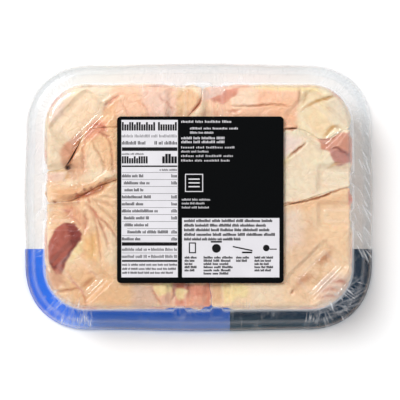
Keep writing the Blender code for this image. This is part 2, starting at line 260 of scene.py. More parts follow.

# Each fold has a route over the picture, a width and a depth in mm, a painted shade colour and its strength
FOLDS = {
    "wrap_crevice": (((81, 131), (78, 142), (75, 151), (71, 160), (68, 167)), 1.8, 0.5, BROWN, 0.75),
    "wrap_hollow": (((67, 165), (69, 170)), 2.6, 3.4, HOLLOW_SHADE, 1.0),
    "left_crevice": (
        ((64, 200), (72, 199), (80, 196), (88, 193), (97, 190), (103, 185), (110, 181), (119, 180)),
        1.9, 2.0, BROWN, 0.80,
    ),
    "left_crevice_deep": (((75, 196), (82, 196), (88, 195), (96, 193)), 0.9, 1.6, RED_BROWN, 0.5),
    "crevice_lump_1": (((75, 191), (78, 197)), 0.9, 1.0, RED_BROWN, 0.6),
    "crevice_lump_2": (((83, 188), (86, 195)), 1.0, 1.0, RED_BROWN, 0.6),
    "crevice_lump_3": (((91, 186), (93, 193)), 0.8, 0.9, RED_BROWN, 0.55),
    "crevice_lump_4": (((99, 182), (103, 190)), 0.9, 0.9, RED_BROWN, 0.5),
    "crevice_lump_5": (((87, 196), (90, 204)), 0.8, 0.8, RED_BROWN, 0.5),
    "crevice_lump_6": (((78, 197), (79, 205)), 0.9, 0.8, RED_BROWN, 0.5),
    "left_crevice_end": (((53, 202), (57, 203)), 1.0, 1.4, BROWN, 0.7),
    "arch_outer": (
        ((84, 170), (83, 156), (84, 143), (88, 134), (94, 130), (100, 129)),
        1.0, 0.9, RED_BROWN, 0.35,
    ),
    "arch_inner": (
        ((96, 122), (102, 130), (108, 139), (112, 151), (113, 165), (112, 176)),
        0.9, 0.7, RED_BROWN, 0.3,
    ),
    "arch_middle": (((93, 142), (96, 150), (101, 158), (104, 166), (104, 175)), 0.8, 0.6, BROWN, 0.35),
    "arch_crown": (((97, 131), (104, 135), (110, 136)), 0.9, 0.8, RED_BROWN, 0.45),
    "arch_knot": (((92, 127), (98, 124), (103, 127), (106, 132)), 1.3, 1.0, RED_BROWN, 0.5),
    "arch_side": (((76, 152), (79, 144), (82, 134)), 1.0, 0.8, BROWN, 0.4),
    "shoulder_fold": (((103, 112), (106, 105), (112, 100), (120, 95)), 1.0, 1.0, RED_BROWN, 0.4),
    "shoulder_line_1": (((120, 101), (125, 108), (129, 116)), 0.7, 0.5, RED_BROWN, 0.22),
    "shoulder_line_2": (((141, 102), (146, 108), (150, 117)), 0.7, 0.5, RED_BROWN, 0.25),
    "shoulder_line_3": (((159, 94), (161, 99), (165, 102)), 0.7, 0.4, RED_BROWN, 0.4),
    "shoulder_line_4": (((166, 101), (170, 106), (173, 109)), 0.8, 0.5, RED_BROWN, 0.4),
    "tip_edge": (((189, 114), (194, 109), (199, 104), (201, 99)), 1.3, 1.1, RED_BROWN, 0.6),
    "side_shelf": (((47, 171), (56, 171), (65, 171)), 0.8, 0.6, OCHRE, 0.5),
    "shelf_end": (((66, 172), (67, 176), (63, 180)), 0.9, 0.5, OCHRE, 0.35),
    "knob_crease_1": (((62, 209), (68, 211), (72, 208)), 1.0, 1.0, RED_BROWN, 0.55),
    "knob_crease_2": (((69, 214), (75, 219), (81, 226)), 0.9, 0.6, RED_BROWN, 0.3),
    "knob_crease_3": (((84, 232), (86, 222), (85, 212)), 1.2, 0.8, RED_BROWN, 0.4),
    "fan_1": (
        ((84, 202), (92, 209), (97, 218), (103, 229), (107, 240), (110, 250)),
        0.9, 0.9, RED_BROWN, 0.5,
    ),
    "fan_2": (((91, 208), (99, 217), (107, 225), (113, 232), (119, 240)), 0.8, 0.8, RED_BROWN, 0.5),
    "fan_3": (((94, 201), (101, 208), (110, 216), (118, 222)), 0.9, 0.7, BROWN, 0.3),
    "fan_4": (((88, 205), (94, 218), (98, 234), (100, 250), (101, 264)), 0.8, 0.6, RED_BROWN, 0.35),
    "fan_5": (((90, 199), (103, 203), (117, 208)), 0.9, 0.7, BROWN, 0.3),
    "fan_6": (((96, 196), (106, 197), (118, 199)), 0.8, 0.6, BROWN, 0.25),
    "fan_7": (((91, 232), (93, 246), (92, 258)), 1.6, 0.7, OCHRE, 0.35),
    "meat_edge": (((79, 240), (73, 248), (68, 255), (63, 262), (61, 271)), 1.1, 1.6, DARK_RED, 0.95),
    "meat_foot": (((50, 262), (54, 268), (58, 264)), 1.0, 0.9, DARK_RED, 0.7),
    "low_arc": (
        ((68, 272), (72, 281), (77, 287), (82, 292), (85, 299), (86, 306)),
        1.0, 1.0, RED_BROWN, 0.45,
    ),
    "low_arc_side": (((54, 291), (64, 291), (73, 289), (80, 288)), 1.0, 1.1, BROWN, 0.55),
    "low_shadow": (((82, 287), (87, 283), (94, 277)), 1.5, 1.6, BROWN, 0.6),
    "low_line": (((86, 274), (92, 272), (96, 275)), 0.8, 0.5, RED_BROWN, 0.3),
    "foot_line": (((152, 288), (156, 297), (162, 306)), 0.9, 0.7, RED_BROWN, 0.4),
    "red_left": (((172, 284), (174, 292), (171, 301)), 1.0, 1.0, DARK_RED, 0.5),
    "red_inner": (((187, 284), (189, 292), (187, 299)), 1.0, 0.8, DARK_RED, 0.35),
    "salmon_crease": (
        ((231, 106), (243, 106.5), (255, 106), (264, 105), (276, 104.5), (290, 107)),
        0.6, 0.9, BROWN, 0.6,
    ),
    "salmon_dash": (((229, 111), (234, 111.5), (239, 111)), 0.9, 0.6, RED_BROWN, 0.5),
    "yellow_edge": (((299.5, 87), (299.5, 95), (298.5, 102)), 0.9, 0.7, BROWN, 0.5),
    "yellow_side": (((307, 89), (306, 97), (302, 104)), 1.0, 0.8, OCHRE, 0.4),
    "corner_crease": (
        ((299, 112), (306, 107), (313, 102), (322, 99.5), (331, 97), (338, 93)),
        1.2, 1.5, OCHRE, 0.75,
    ),
    "corner_hook": (((323, 138), (328, 132), (334, 126), (341, 127)), 1.4, 1.5, OCHRE, 0.75),
    "upper_right_seam": (((282, 129.5), (289, 129), (295, 127.5), (297, 125)), 0.7, 1.2, BROWN, 0.9),
    "seam_fleck": (((291, 130.5), (294, 130)), 0.7, 0.8, BROWN, 0.7),
    "pink_fold": (((289, 157), (296, 151), (302, 146), (306, 143)), 0.8, 1.3, BROWN, 0.8),
    "knot": (((318, 139), (324, 139.5), (331, 139.5), (336, 136.5)), 0.8, 1.2, RED_BROWN, 0.75),
    "flap_crease": (((329, 150), (336, 148), (342, 151), (351, 157)), 0.8, 1.0, DARK_RED, 0.55),
    "flap_side": (((350.5, 136), (351, 147), (350, 158)), 0.8, 0.5, RED_BROWN, 0.6),
    "flap_foot": (((329, 168), (334, 165), (341, 163)), 0.8, 1.0, OCHRE, 0.5),
    "lower_right_seam": (
        ((282, 204), (300, 202), (320, 197.5), (334, 191.5), (345, 188), (352, 187)),
        0.7, 1.6, BROWN, 0.95,
    ),
    "dent_high": (((318, 265), (323, 260), (328, 255), (330, 250)), 3.2, 1.1, BROWN, 0.55),
    "dent_low": (((297, 287), (302, 281), (309, 277), (315, 276)), 3.0, 1.1, BROWN, 0.5),
    "dent_small": (((291, 294), (294, 290)), 0.8, 1.0, BROWN, 0.6),
    "dent_ridge": (((322, 264), (321, 273), (317, 281), (310, 285)), 1.5, 0.7, OCHRE, 0.3),
    "corner_fold_1": (((333, 282), (340, 281), (347, 284)), 1.3, 0.9, RED_BROWN, 0.55),
    "corner_fold_2": (((321, 291), (330, 289), (339, 291)), 1.2, 0.7, RED_BROWN, 0.35),
    "corner_fold_3": (((316, 298), (330, 296.5), (343, 296)), 1.2, 0.6, RED_BROWN, 0.3),
    "right_red_edge": (((349, 190), (350, 198), (349, 206)), 0.9, 0.3, linear(214, 96, 88), 0.7),
}


def smooth_route(places, steps=6):
    """A smooth curve through a few places, as points on the base."""
    knots = on_base(places)
    knots = np.vstack([2 * knots[0] - knots[1], knots, 2 * knots[-1] - knots[-2]])
    curve = []
    for before, start, end, after in zip(knots, knots[1:], knots[2:], knots[3:]):
        for step in range(steps):
            t = step / steps
            curve.append(
                0.5 * (
                    2 * start + (end - before) * t + (2 * before - 5 * start + 4 * end - after) * t**2
                    + (3 * start - before - 3 * end + after) * t**3
                )
            )
    curve.append(knots[-2])
    return np.array(curve)


def distance_to_route(x, y, route):
    """Distance of each point to a route, and the share of the route where it is nearest."""
    best = np.full(x.shape, 1.0)
    where = np.zeros(x.shape)
    count = len(route) - 1
    for index, (start, end) in enumerate(zip(route, route[1:])):
        step = end - start
        share = ((x - start[0]) * step[0] + (y - start[1]) * step[1]) / (step @ step)
        share = np.clip(share, 0.0, 1.0)
        away = np.hypot(x - start[0] - share * step[0], y - start[1] - share * step[1])
        nearer = away < best
        best = np.where(nearer, away, best)
        where = np.where(nearer, (index + share) / count, where)
    return best, where


FOLD_ROUTES = {name: smooth_route(fold[0]) for name, fold in FOLDS.items()}
print(len(FOLDS), "folds")

# %% [markdown]
# ## Patches of colour
#
# The skin isn't one colour: pale yellow fat, peach skin, pink and dark red meat
# where the skin ends. Each patch is a loose polygon with a soft edge, washed over
# the ones before it like paint. Noise bends the edges so that none looks drawn. A
# few patches are painted shade or light instead of the skin's own colour, and each
# says so beside it or in its name.

# %% Patches of the skin
PALE = linear(243, 221, 190)
PEACH = linear(238, 200, 160)
SALMON = linear(249, 201, 168)
ORANGE = linear(235, 184, 136)
ROSE = linear(238, 212, 201)
WHITISH = linear(240, 222, 194)
YELLOW_FAT = linear(240, 218, 163)
PINK_MEAT = linear(218, 148, 126)
RED_MEAT = linear(170, 88, 74)
DARK_MEAT = linear(126, 46, 38)
MAUVE_MEAT = linear(190, 135, 124)

# Each patch has a colour, a strength, an edge softness in mm and a loose outline in the picture
PATCHES = {
    "top_left_skin": (
        linear(231, 207, 176), 1.0, 3.0,
        ((40, 80), (112, 80), (106, 112), (84, 132), (74, 160), (60, 172), (40, 172)),
    ),
    "top_left_cream": (
        linear(248, 230, 204), 0.7, 3.0,
        ((64, 82), (104, 80), (112, 88), (105, 99), (84, 103), (66, 98)),
    ),
    # Painted light: brightens the skin under the top left pad, which lies in shade in its recess
    "top_left_pad_painted_light": (
        linear(254, 222, 188), 0.6, 3.0,
        ((54, 108), (78, 90), (98, 96), (94, 112), (70, 136), (52, 126)),
    ),
    "mid_left_skin": (
        PEACH, 1.0, 1.5,
        ((62, 172), (78, 140), (88, 122), (208, 122), (208, 181), (118, 181), (60, 203), (40, 203),
         (40, 170)),
    ),
    "low_left_skin": (
        PEACH, 1.0, 1.0,
        ((40, 203), (62, 202), (95, 192), (118, 181), (205, 181), (212, 320), (40, 320)),
    ),
    "shoulder": (SALMON, 0.95, 2.2, ((113, 84), (176, 84), (178, 118), (112, 118), (107, 104))),
    "shoulder_rose": (ROSE, 0.5, 3.0, ((140, 90), (173, 88), (173, 118), (150, 118))),
    "tip": (ORANGE, 0.7, 2.0, ((178, 88), (192, 90), (203, 100), (188, 118), (176, 118))),
    "top_left_rose": (ROSE, 0.75, 4.0, ((48, 104), (58, 90), (68, 92), (62, 112), (50, 122))),
    "under_arm": (ORANGE, 0.7, 2.0, ((106, 108), (116, 102), (118, 126), (102, 126), (100, 116))),
    "arch": (ORANGE, 0.55, 3.0, ((84, 128), (118, 122), (118, 170), (108, 168), (98, 136), (84, 150))),
    "arch_pink": (
        linear(222, 150, 120), 0.8, 2.0,
        ((86, 128), (94, 119), (106, 122), (108, 132), (96, 137), (86, 140)),
    ),
    "arch_core": (PALE, 0.5, 2.5, ((88, 146), (98, 150), (103, 172), (90, 178), (84, 165))),
    "wrap_shade": (
        linear(208, 148, 116), 0.85, 1.6,
        ((64, 144), (74, 136), (81, 134), (77, 148), (72, 160), (68, 170), (62, 162), (61, 150)),
    ),
    "mid_left_fold": (
        PALE, 0.65, 2.5,
        ((68, 178), (100, 170), (116, 172), (100, 182), (80, 190), (62, 188)),
    ),
    "crevice_gold": (
        linear(216, 156, 108), 0.6, 2.2,
        ((52, 192), (66, 186), (84, 182), (104, 182), (112, 186), (98, 194), (78, 200), (54, 202)),
    ),
    "elbow": (linear(216, 164, 130), 0.7, 2.5, ((68, 160), (84, 157), (89, 172), (79, 181), (66, 177))),
    "shelf": (linear(233, 200, 184), 0.7, 1.2, ((46, 172), (64, 172), (64, 181), (46, 182))),
    "fan_light": (PALE, 0.5, 3.0, ((102, 226), (118, 236), (118, 268), (106, 262))),
    "fan_gold": (linear(238, 186, 122), 0.7, 3.0, ((84, 236), (98, 232), (98, 262), (84, 258))),
    "knob": (
        linear(226, 168, 130), 0.85, 2.0,
        ((62, 204), (72, 206), (84, 212), (90, 232), (80, 228), (64, 218)),
    ),
    "left_edge": (PALE, 0.6, 2.0, ((44, 206), (52, 208), (50, 250), (48, 290), (43, 270))),
    "drumhead": (
        RED_MEAT, 0.97, 0.7,
        ((50, 236), (56, 228), (64, 223), (74, 225), (82, 233), (80, 239), (72, 251), (67, 260),
         (61, 273), (55, 273), (49, 266), (48, 250)),
    ),
    "drumhead_dark": (
        DARK_MEAT, 0.85, 1.6,
        ((68, 225), (75, 226), (82, 233), (79, 240), (71, 249), (69, 240)),
    ),
    "drumhead_pale": (
        linear(184, 106, 92), 0.5, 2.2,
        ((51, 236), (60, 231), (64, 246), (57, 255), (50, 250)),
    ),
    "knob_fat": (YELLOW_FAT, 0.8, 1.4, ((79, 241), (83, 240), (83, 252), (72, 262), (68, 262), (72, 254))),
    "low_pale": (PALE, 0.25, 3.0, ((64, 262), (80, 258), (90, 270), (80, 280), (68, 276))),
    "low_gold": (
        linear(226, 180, 134), 0.7, 4.0,
        ((66, 270), (100, 268), (116, 284), (140, 284), (140, 306), (70, 304)),
    ),
    "foot_shade": (
        linear(202, 150, 122), 0.65, 2.5,
        ((44, 270), (62, 270), (66, 284), (56, 292), (46, 286)),
    ),
    "foot_pale": (
        linear(212, 180, 160), 0.8, 2.5,
        ((134, 284), (154, 284), (158, 300), (150, 308), (132, 306)),
    ),
    "foot_fat_1": (YELLOW_FAT, 0.85, 1.2, ((153, 283), (171, 283), (170, 292), (162, 297), (156, 292))),
    "foot_rose": (linear(220, 168, 148), 0.7, 1.5, ((160, 297), (172, 294), (174, 306), (160, 306))),
    "red_band": (
        linear(216, 142, 116), 0.95, 1.2,
        ((171, 283), (211, 283), (211, 308), (176, 308), (173, 296)),
    ),
    "red_band_dark": (linear(186, 106, 84), 0.75, 1.2, ((171, 283), (188, 283), (186, 292), (174, 292))),
    "red_band_light": (linear(236, 180, 150), 0.6, 1.6, ((184, 297), (206, 296), (204, 308), (184, 308))),
    "foot_fat_2": (
        YELLOW_FAT, 0.85, 1.0,
        ((176, 289), (182, 288), (187, 292), (184, 300), (177, 300), (174, 296)),
    ),
    "top_right_skin": (
        SALMON, 1.0, 1.2,
        ((208, 80), (300, 80), (300, 128), (283, 129), (203, 140), (205, 100)),
    ),
    "top_right_yellow": (
        linear(241, 222, 186), 1.0, 1.2,
        ((300, 80), (352, 80), (358, 128), (340, 129), (330, 141), (318, 139), (298, 128)),
    ),
    "salmon_pale": (linear(246, 222, 196), 0.8, 2.5, ((236, 88), (258, 88), (254, 106), (232, 106))),
    "salmon_deep": (linear(244, 190, 150), 0.6, 3.0, ((268, 104), (298, 98), (298, 128), (276, 124))),
    "left_veil": (
        linear(236, 206, 192), 0.85, 1.6,
        ((200, 90), (212, 86), (227, 86), (222, 96), (212, 97), (204, 100)),
    ),
    "top_flap": (
        PINK_MEAT, 0.9, 0.9,
        ((212, 96), (222, 95), (226, 87), (241, 86), (237, 95), (231, 101), (223, 105), (214, 100)),
    ),
    "left_point": (linear(238, 204, 170), 0.8, 1.5, ((202, 104), (210, 99), (213, 118), (196, 118))),
    "corner_grey": (
        linear(230, 212, 190), 0.75, 3.0,
        ((330, 96), (346, 104), (351, 127), (334, 124), (328, 108)),
    ),
    "corner_pad": (
        linear(243, 218, 178), 0.6, 2.0,
        ((304, 118), (316, 108), (330, 116), (326, 134), (312, 136)),
    ),
    "top_fat": (YELLOW_FAT, 0.85, 1.0, ((236, 70), (322, 70), (320, 90), (284, 91), (262, 87), (238, 84))),
    "mid_right_skin": (
        WHITISH, 1.0, 1.2,
        ((206, 132), (283, 129), (298, 128), (318, 140), (330, 141), (356, 128), (356, 187), (344, 188),
         (320, 197), (283, 204), (206, 206)),
    ),
    "pink_side": (ROSE, 0.8, 2.5, ((280, 134), (302, 138), (296, 150), (282, 158))),
    "pink_side_fat": (linear(236, 212, 160), 0.6, 1.5, ((282, 160), (292, 153), (292, 158), (283, 168))),
    "mid_right_yellow": (linear(240, 224, 188), 0.4, 3.5, ((304, 146), (322, 150), (326, 164), (306, 168))),
    "flap": (
        linear(208, 142, 118), 0.95, 0.8,
        ((319, 139), (330, 140), (335, 135), (344, 131), (354, 132), (355, 160), (345, 163), (334, 159),
         (328, 151), (321, 148)),
    ),
    "flap_mauve": (
        MAUVE_MEAT, 0.9, 1.0,
        ((329, 149), (339, 148), (350, 152), (351, 163), (339, 165), (332, 159)),
    ),
    "flap_fat": (linear(230, 208, 182), 0.8, 1.2, ((327, 170), (336, 164), (352, 168), (352, 172))),
    "low_right_skin": (
        linear(238, 206, 170), 1.0, 1.0,
        ((211, 206), (283, 204), (320, 197), (345, 188), (358, 187), (358, 320), (211, 320)),
    ),
    "low_right_middle": (linear(228, 192, 158), 0.7, 5.0, ((288, 222), (312, 216), (316, 262), (290, 268))),
    "low_right_rose": (linear(240, 216, 198), 0.7, 4.0, ((280, 208), (300, 206), (302, 244), (284, 252))),
    "low_right_gold": (linear(242, 208, 168), 0.5, 5.0, ((316, 214), (350, 210), (350, 262), (318, 250))),
    "seam_peach": (
        linear(240, 194, 150), 0.6, 2.0,
        ((284, 206), (322, 199), (346, 190), (350, 200), (322, 208), (286, 212)),
    ),
    "foot_orange": (linear(226, 182, 140), 0.8, 1.2, ((211, 283), (223, 283), (222, 304), (211, 304))),
    "foot_yellow": (linear(240, 216, 160), 0.9, 1.6, ((222, 283), (250, 283), (246, 296), (224, 304))),
    "foot_light": (linear(240, 218, 190), 0.6, 3.0, ((252, 284), (284, 286), (284, 304), (250, 304))),
    "corner_rose": (
        linear(206, 180, 166), 0.7, 3.5,
        ((318, 282), (334, 274), (350, 276), (344, 296), (322, 304)),
    ),
}


def distance_outside(x, y, outline):
    """Distance outside a polygon, negative inside it."""
    closed = np.vstack([outline, outline[:1]])
    away, _ = distance_to_route(x, y, closed)
    inside = np.zeros(x.shape, bool)
    for start, end in zip(closed, closed[1:]):
        crosses = (start[1] > y) != (end[1] > y)
        rise = end[1] - start[1] if end[1] != start[1] else 1e-12
        inside ^= crosses & (x < start[0] + (y - start[1]) / rise * (end[0] - start[0]))
    return np.where(inside, -away, away)


def near_box(x, y, places, reach):
    """Which points lie within a reach of the box round some places."""
    low = places.min(axis=0) - reach
    high = places.max(axis=0) + reach
    return (x > low[0]) & (x < high[0]) & (y > low[1]) & (y < high[1])


# Noise of this cell size bends the patches' edges by this much
BEND_CELL = 0.006
BEND = 0.0011
# A patch whose green part is lower than this is bare meat, not skin or fat
MEAT_GREEN = 0.33


def skin_colour(x, y, seed):
    """The colour of the skin at each point, and how much of it is bare meat."""
    bend_x = x + BEND * layered_noise(x, y, BEND_CELL, seed)
    bend_y = y + BEND * layered_noise(x, y, BEND_CELL, seed + 10)
    colour = np.tile(PALE, (len(x), 1))
    meat = np.zeros(len(x))
    for name, (tone, strength, softness, outline) in PATCHES.items():
        spots = on_base(outline)
        soft = softness / 1000
        near = near_box(x, y, spots, 3 * soft + 0.003)
        if not near.any():
            continue
        cover = strength * ease(0.5 - distance_outside(bend_x[near], bend_y[near], spots) / (2 * soft))
        colour[near] += cover[:, None] * (tone - colour[near])
        if tone[1] < MEAT_GREEN:
            meat[near] = np.maximum(meat[near], cover)
        else:
            meat[near] *= 1 - cover
    return colour, meat


print(len(PATCHES), "patches of colour")


# %% [markdown]
# ## The recesses that the tray presses into the meat
#
# The tray's ribs and corner pads are sunk into its base, so the meat under them is
# pushed down by the same amount. A distance to each rounded rectangle gives a
# smooth dent, which keeps the meat clear of the plastic.

# %% Dents under the ribs and pads
RIB_WIDTH = 0.0085
RIB_SPACING = 0.0226
RIB_REACH = (0.0175, 0.0210)
PAD_CENTRE = (0.0729, 0.0462)
PAD_SIZE = (0.0270, 0.0155)
RECESS_DEPTH = 0.0020
RECESS_CLEARANCE = TRAY_WALL + 0.0006
DENT_SOFTNESS = 0.0045
# Under a rib the sides swell less by the first share, and lower down by less than that
RIB_HOLD = 0.75
RIB_RELIEF = 0.28


def box_distance(x, y, half_x, half_y):
    """Distance outside a rectangle about the origin, negative inside it."""
    over_x = np.abs(x) - half_x
    over_y = np.abs(y) - half_y
    outside = np.hypot(np.maximum(over_x, 0.0), np.maximum(over_y, 0.0))
    return outside + np.minimum(np.maximum(over_x, over_y), 0.0)


def recess_distance(x, y):
    """Distance to the nearest rib or corner pad."""
    half_width = RIB_WIDTH / 2 + RECESS_CLEARANCE
    least = np.full(x.shape, 1.0)
    edge = (BASE_HALF_X, BASE_HALF_Y)
    for side, (outward, along) in enumerate(((x, y), (y, x))):
        reach = RIB_REACH[side] + RECESS_CLEARANCE
        middle = edge[side] - reach / 2 + 0.005
        from_rib = box_distance(
            np.abs(outward) - middle, np.abs(along) - RIB_SPACING / 2, reach / 2 + 0.005, half_width
        )
        least = np.minimum(least, from_rib)
    corner_x = np.abs(x) - PAD_CENTRE[0]
    corner_y = np.abs(y) - PAD_CENTRE[1]
    along = (corner_x - corner_y) / math.sqrt(2)
    across = (corner_x + corner_y) / math.sqrt(2)
    from_pad = box_distance(
        along, across, PAD_SIZE[0] / 2 + RECESS_CLEARANCE, PAD_SIZE[1] / 2 + RECESS_CLEARANCE
    )
    return np.minimum(least, from_pad)


# %% The height of the pressed skin
EDGE_ROUND = 0.0036
SEAM_ROUND = 0.0007
SWELL = 0.0005
FOLD_DEPTH = 1.2
# How strongly the painted shade darkens a crease
FOLD_SHADE = 1.25
WOBBLE_CELL = 0.003
WOBBLE = 0.0004
# Beside a fold the skin puffs up by a share of the fold's depth, and its colour is brightened there as a
# painted highlight
PUFF = 0.35
PUFF_LIGHT = 90
PUFF_MOST = 0.0007


def edge_drop(depth, radius):
    """How far a rounded edge has fallen at a given depth inside the outline."""
    short = radius - np.clip(depth, 0.0, radius)
    return radius - np.sqrt(radius * radius - short * short)


def fold_relief(x, y, colour):
    """Sink the folds, darken their colour with painted shade and brighten the skin beside them with a
    painted highlight; returns how far each point sinks.
    """
    sink = np.zeros(len(x))
    puff = np.zeros(len(x))
    wobble_x = x + WOBBLE * layered_noise(x, y, WOBBLE_CELL, 71)
    wobble_y = y + WOBBLE * layered_noise(x, y, WOBBLE_CELL, 81)
    for name, (_, width, depth, shade_tone, strength) in FOLDS.items():
        route = FOLD_ROUTES[name]
        near = near_box(x, y, route, 0.0045 * width)
        if not near.any():
            continue
        away, where = distance_to_route(wobble_x[near], wobble_y[near], route)
        taper = np.sqrt(np.clip(4 * where * (1 - where), 0.12, 1.0))
        spread = away / (width / 1000)
        sink[near] = np.maximum(sink[near], FOLD_DEPTH * depth / 1000 * taper * np.exp(-spread * spread))
        puff[near] = np.maximum(puff[near], PUFF * depth / 1000 * taper * np.exp(-((spread - 2.0) ** 2)))
        # Painted shade: the crease's colour is darkened towards its shade colour
        cover = np.minimum(FOLD_SHADE * strength, 1.0) * taper * np.exp(-((spread / 0.85) ** 2))
        colour[near] += cover[:, None] * (shade_tone - colour[near])
    # Painted highlight: the puffed skin beside each fold is brightened
    colour *= (1 + PUFF_LIGHT * np.minimum(puff, PUFF_MOST))[:, None]
    return sink - puff


def skin_surface(x, y, limits, mirrored=False):
    """Depth of the skin below the flat face, with its colour and its share of bare meat."""
    look_x = -x if mirrored else x
    colour, meat = skin_colour(look_x, y, 31)
    sink = fold_relief(look_x, y, colour)
    depth = thigh_depth(x, y, limits)
    outer = tray_depth(x, y) - MEAT_INSET
    seam_share = ease(0.5 + (outer - seam_depth(x, y, *limits)) / 0.004)
    radius = EDGE_ROUND + seam_share * (SEAM_ROUND - EDGE_ROUND)
    drop = edge_drop(depth, radius)
    swell = SWELL * (1 + layered_noise(look_x, y, 0.014, 51)) / 2
    swell += 0.00016 * (1 + layered_noise(look_x, y, 0.0034, 55)) / 2
    return np.maximum(drop + sink + swell, 0.0), colour, meat


# %% [markdown]
# ## Building a thigh
#
# A thigh's outline is star-shaped about its middle: walking straight out from the
# middle meets the edge once. That allows a neat mesh. A square grid is stretched so
# that its outer ring of points lands on the outline, which keeps the faces small
# and even all over. One grid makes the face against the tray, another the face
# against the film, and strips between their outer rings make the sides.

# %% Grid and outline of a thigh
def square_rings(rings):
    """For a square grid of points: each point's share of the way out, and its place round."""
    steps = np.arange(-rings, rings + 1)
    u, v = (axis.ravel() for axis in np.meshgrid(steps, steps))
    ring = np.maximum(np.abs(u), np.abs(v))
    safe = np.maximum(ring, 1)
    around = np.select(
        [(u == ring) & (v > -ring), (v == ring), (u == -ring), (v == -ring)],
        [v, 2 * ring - u, 4 * ring - v, 6 * ring + u],
    )
    return ring / rings, (around / (8 * safe)) % 1.0


def grid_faces(rings):
    """The faces of the square grid, and the points round its edge in order."""
    side = 2 * rings + 1
    grid = np.arange(side * side).reshape(side, side)
    quads = np.stack([grid[:-1, :-1], grid[:-1, 1:], grid[1:, 1:], grid[1:, :-1]], -1).reshape(-1, 4)
    return quads, np.concatenate([grid[1:, -1], grid[-1, -2::-1], grid[-2::-1, 0], grid[0, 1:]])


def walked_along(points):
    """The length of a line of points, from its start to each point."""
    return np.concatenate([[0.0], np.cumsum(np.hypot(*np.diff(points, axis=0).T))])


def thigh_outline(middle, limits, spokes=3600):
    """Walk out from the middle along each spoke until the thigh's edge is reached."""
    angles = np.linspace(0, 2 * np.pi, spokes, endpoint=False)
    reach = np.arange(0.0, 0.13, 0.0005)
    x = middle[0] + np.cos(angles)[:, None] * reach
    y = middle[1] + np.sin(angles)[:, None] * reach
    depth = thigh_depth(x, y, limits)
    first = np.argmax(depth < 0, axis=1)
    rows = np.arange(spokes)
    before = depth[rows, first - 1]
    after = depth[rows, first]
    length = reach[first - 1] + (reach[1] - reach[0]) * before / (before - after)
    points = np.stack([middle[0] + np.cos(angles) * length, middle[1] + np.sin(angles) * length], 1)
    return np.vstack([points, points[:1]])


def at_shares(shares, walked, values):
    """Values along a line of known lengths, at shares of its whole length."""
    goal = shares * walked[-1]
    return np.stack([np.interp(goal, walked, values[:, 0]), np.interp(goal, walked, values[:, 1])], 1)


# %% Mesh helpers
def mesh_piece(name, corners, faces, material, smooth=True):
    """One object from arrays of corners and faces."""
    mesh = bpy.data.meshes.new(name)
    mesh.from_pydata([tuple(corner) for corner in corners], [], [tuple(face) for face in faces])
    mesh.validate()
    if smooth:
        mesh.shade_smooth()
    mesh.materials.append(material)
    made = bpy.data.objects.new(name, mesh)
    bpy.context.scene.collection.objects.link(made)
    return made


def point_values(made, name, values):
    """Store one number or one colour per point, for the material to read."""
    values = np.asarray(values, np.float32)
    if values.ndim == 1:
        layer = made.data.attributes.new(name, "FLOAT", "POINT")
        layer.data.foreach_set("value", values)
    else:
        layer = made.data.attributes.new(name, "FLOAT_COLOR", "POINT")
        layer.data.foreach_set("color", np.hstack([values, np.ones((len(values), 1))]).ravel())


def belongs(made, slot_name, *nodes):
    """Fix a piece to the pack and hide the solids that it stands for; slot_name is not used."""
    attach(made, "root")
    if nodes:
        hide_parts(*nodes)
    return made


# %% Build one thigh
SIDE_ROWS = 22
FOOT_SCALE = 0.955
FOOT_ROUND = 0.0080
SIDE_DENT = 0.0012
SIDE_FOLD = 0.0022
SIDE_SWELL = 0.0029
SIDE_TAPER = 2.5
SIDE_PINK = linear(228, 158, 132)
SIDE_FAT = 0.55
SIDE_ROSE = 0.75
# How strongly painted shade darkens the creases down the sides
SIDE_CREASE_SHADE = 0.45
CELL = 0.00052


def thigh_sides(name, middle, limits, upper, lower):
    """Rows of points down a thigh's sides, and each point's fold, lump and crease."""
    count = len(upper)
    inward = middle - upper[:, :2]
    inward /= np.hypot(inward[:, 0], inward[:, 1])[:, None]
    walked = walked_along(upper[:, :2])
    corner = np.sign(upper[:, :2]) * np.maximum(np.abs(upper[:, :2]) - (CORNER_X, CORNER_Y), 0.0)
    outward = corner / np.maximum(np.hypot(corner[:, 0], corner[:, 1]), 1e-6)[:, None]
    at_wall = ease((seam_depth(upper[:, 0], upper[:, 1], *limits) - 0.0005) / 0.006)
    under_rib = ease(1 - recess_distance(upper[:, 0], upper[:, 1]) / DENT_SOFTNESS)
    rows = []
    tones = []
    for row in range(1, SIDE_ROWS):
        share = row / SIDE_ROWS
        level = upper + share * (lower - upper)
        level[:, :2] = upper[:, :2] + share**SIDE_TAPER * (lower - upper)[:, :2]
        drop = 0.045 * share + 0.05 * len(name)
        fold = np.abs(layered_noise(walked + 0.3 * drop, np.full(count, drop), 0.016, 61, 2))
        lump = (1 + layered_noise(walked, np.full(count, drop), 0.009, 65)) / 2
        crease = np.exp(-((fold / 0.05) ** 2))
        dent = np.sin(np.pi * share) * (SIDE_DENT * lump + SIDE_FOLD * crease)
        swollen = SIDE_SWELL * ease(share / 0.20) * ease((1 - share) / 0.5) * at_wall
        held_back = RIB_HOLD - RIB_RELIEF * ease((share - 0.08) / 0.12)
        swollen *= 1 - under_rib * held_back
        level[:, :2] += dent[:, None] * inward + (swollen * (0.6 + 0.4 * lump))[:, None] * outward
        rows.append(level)
        tones.append(np.stack([fold, lump, crease], 1))
    return np.vstack(rows), np.vstack(tones)


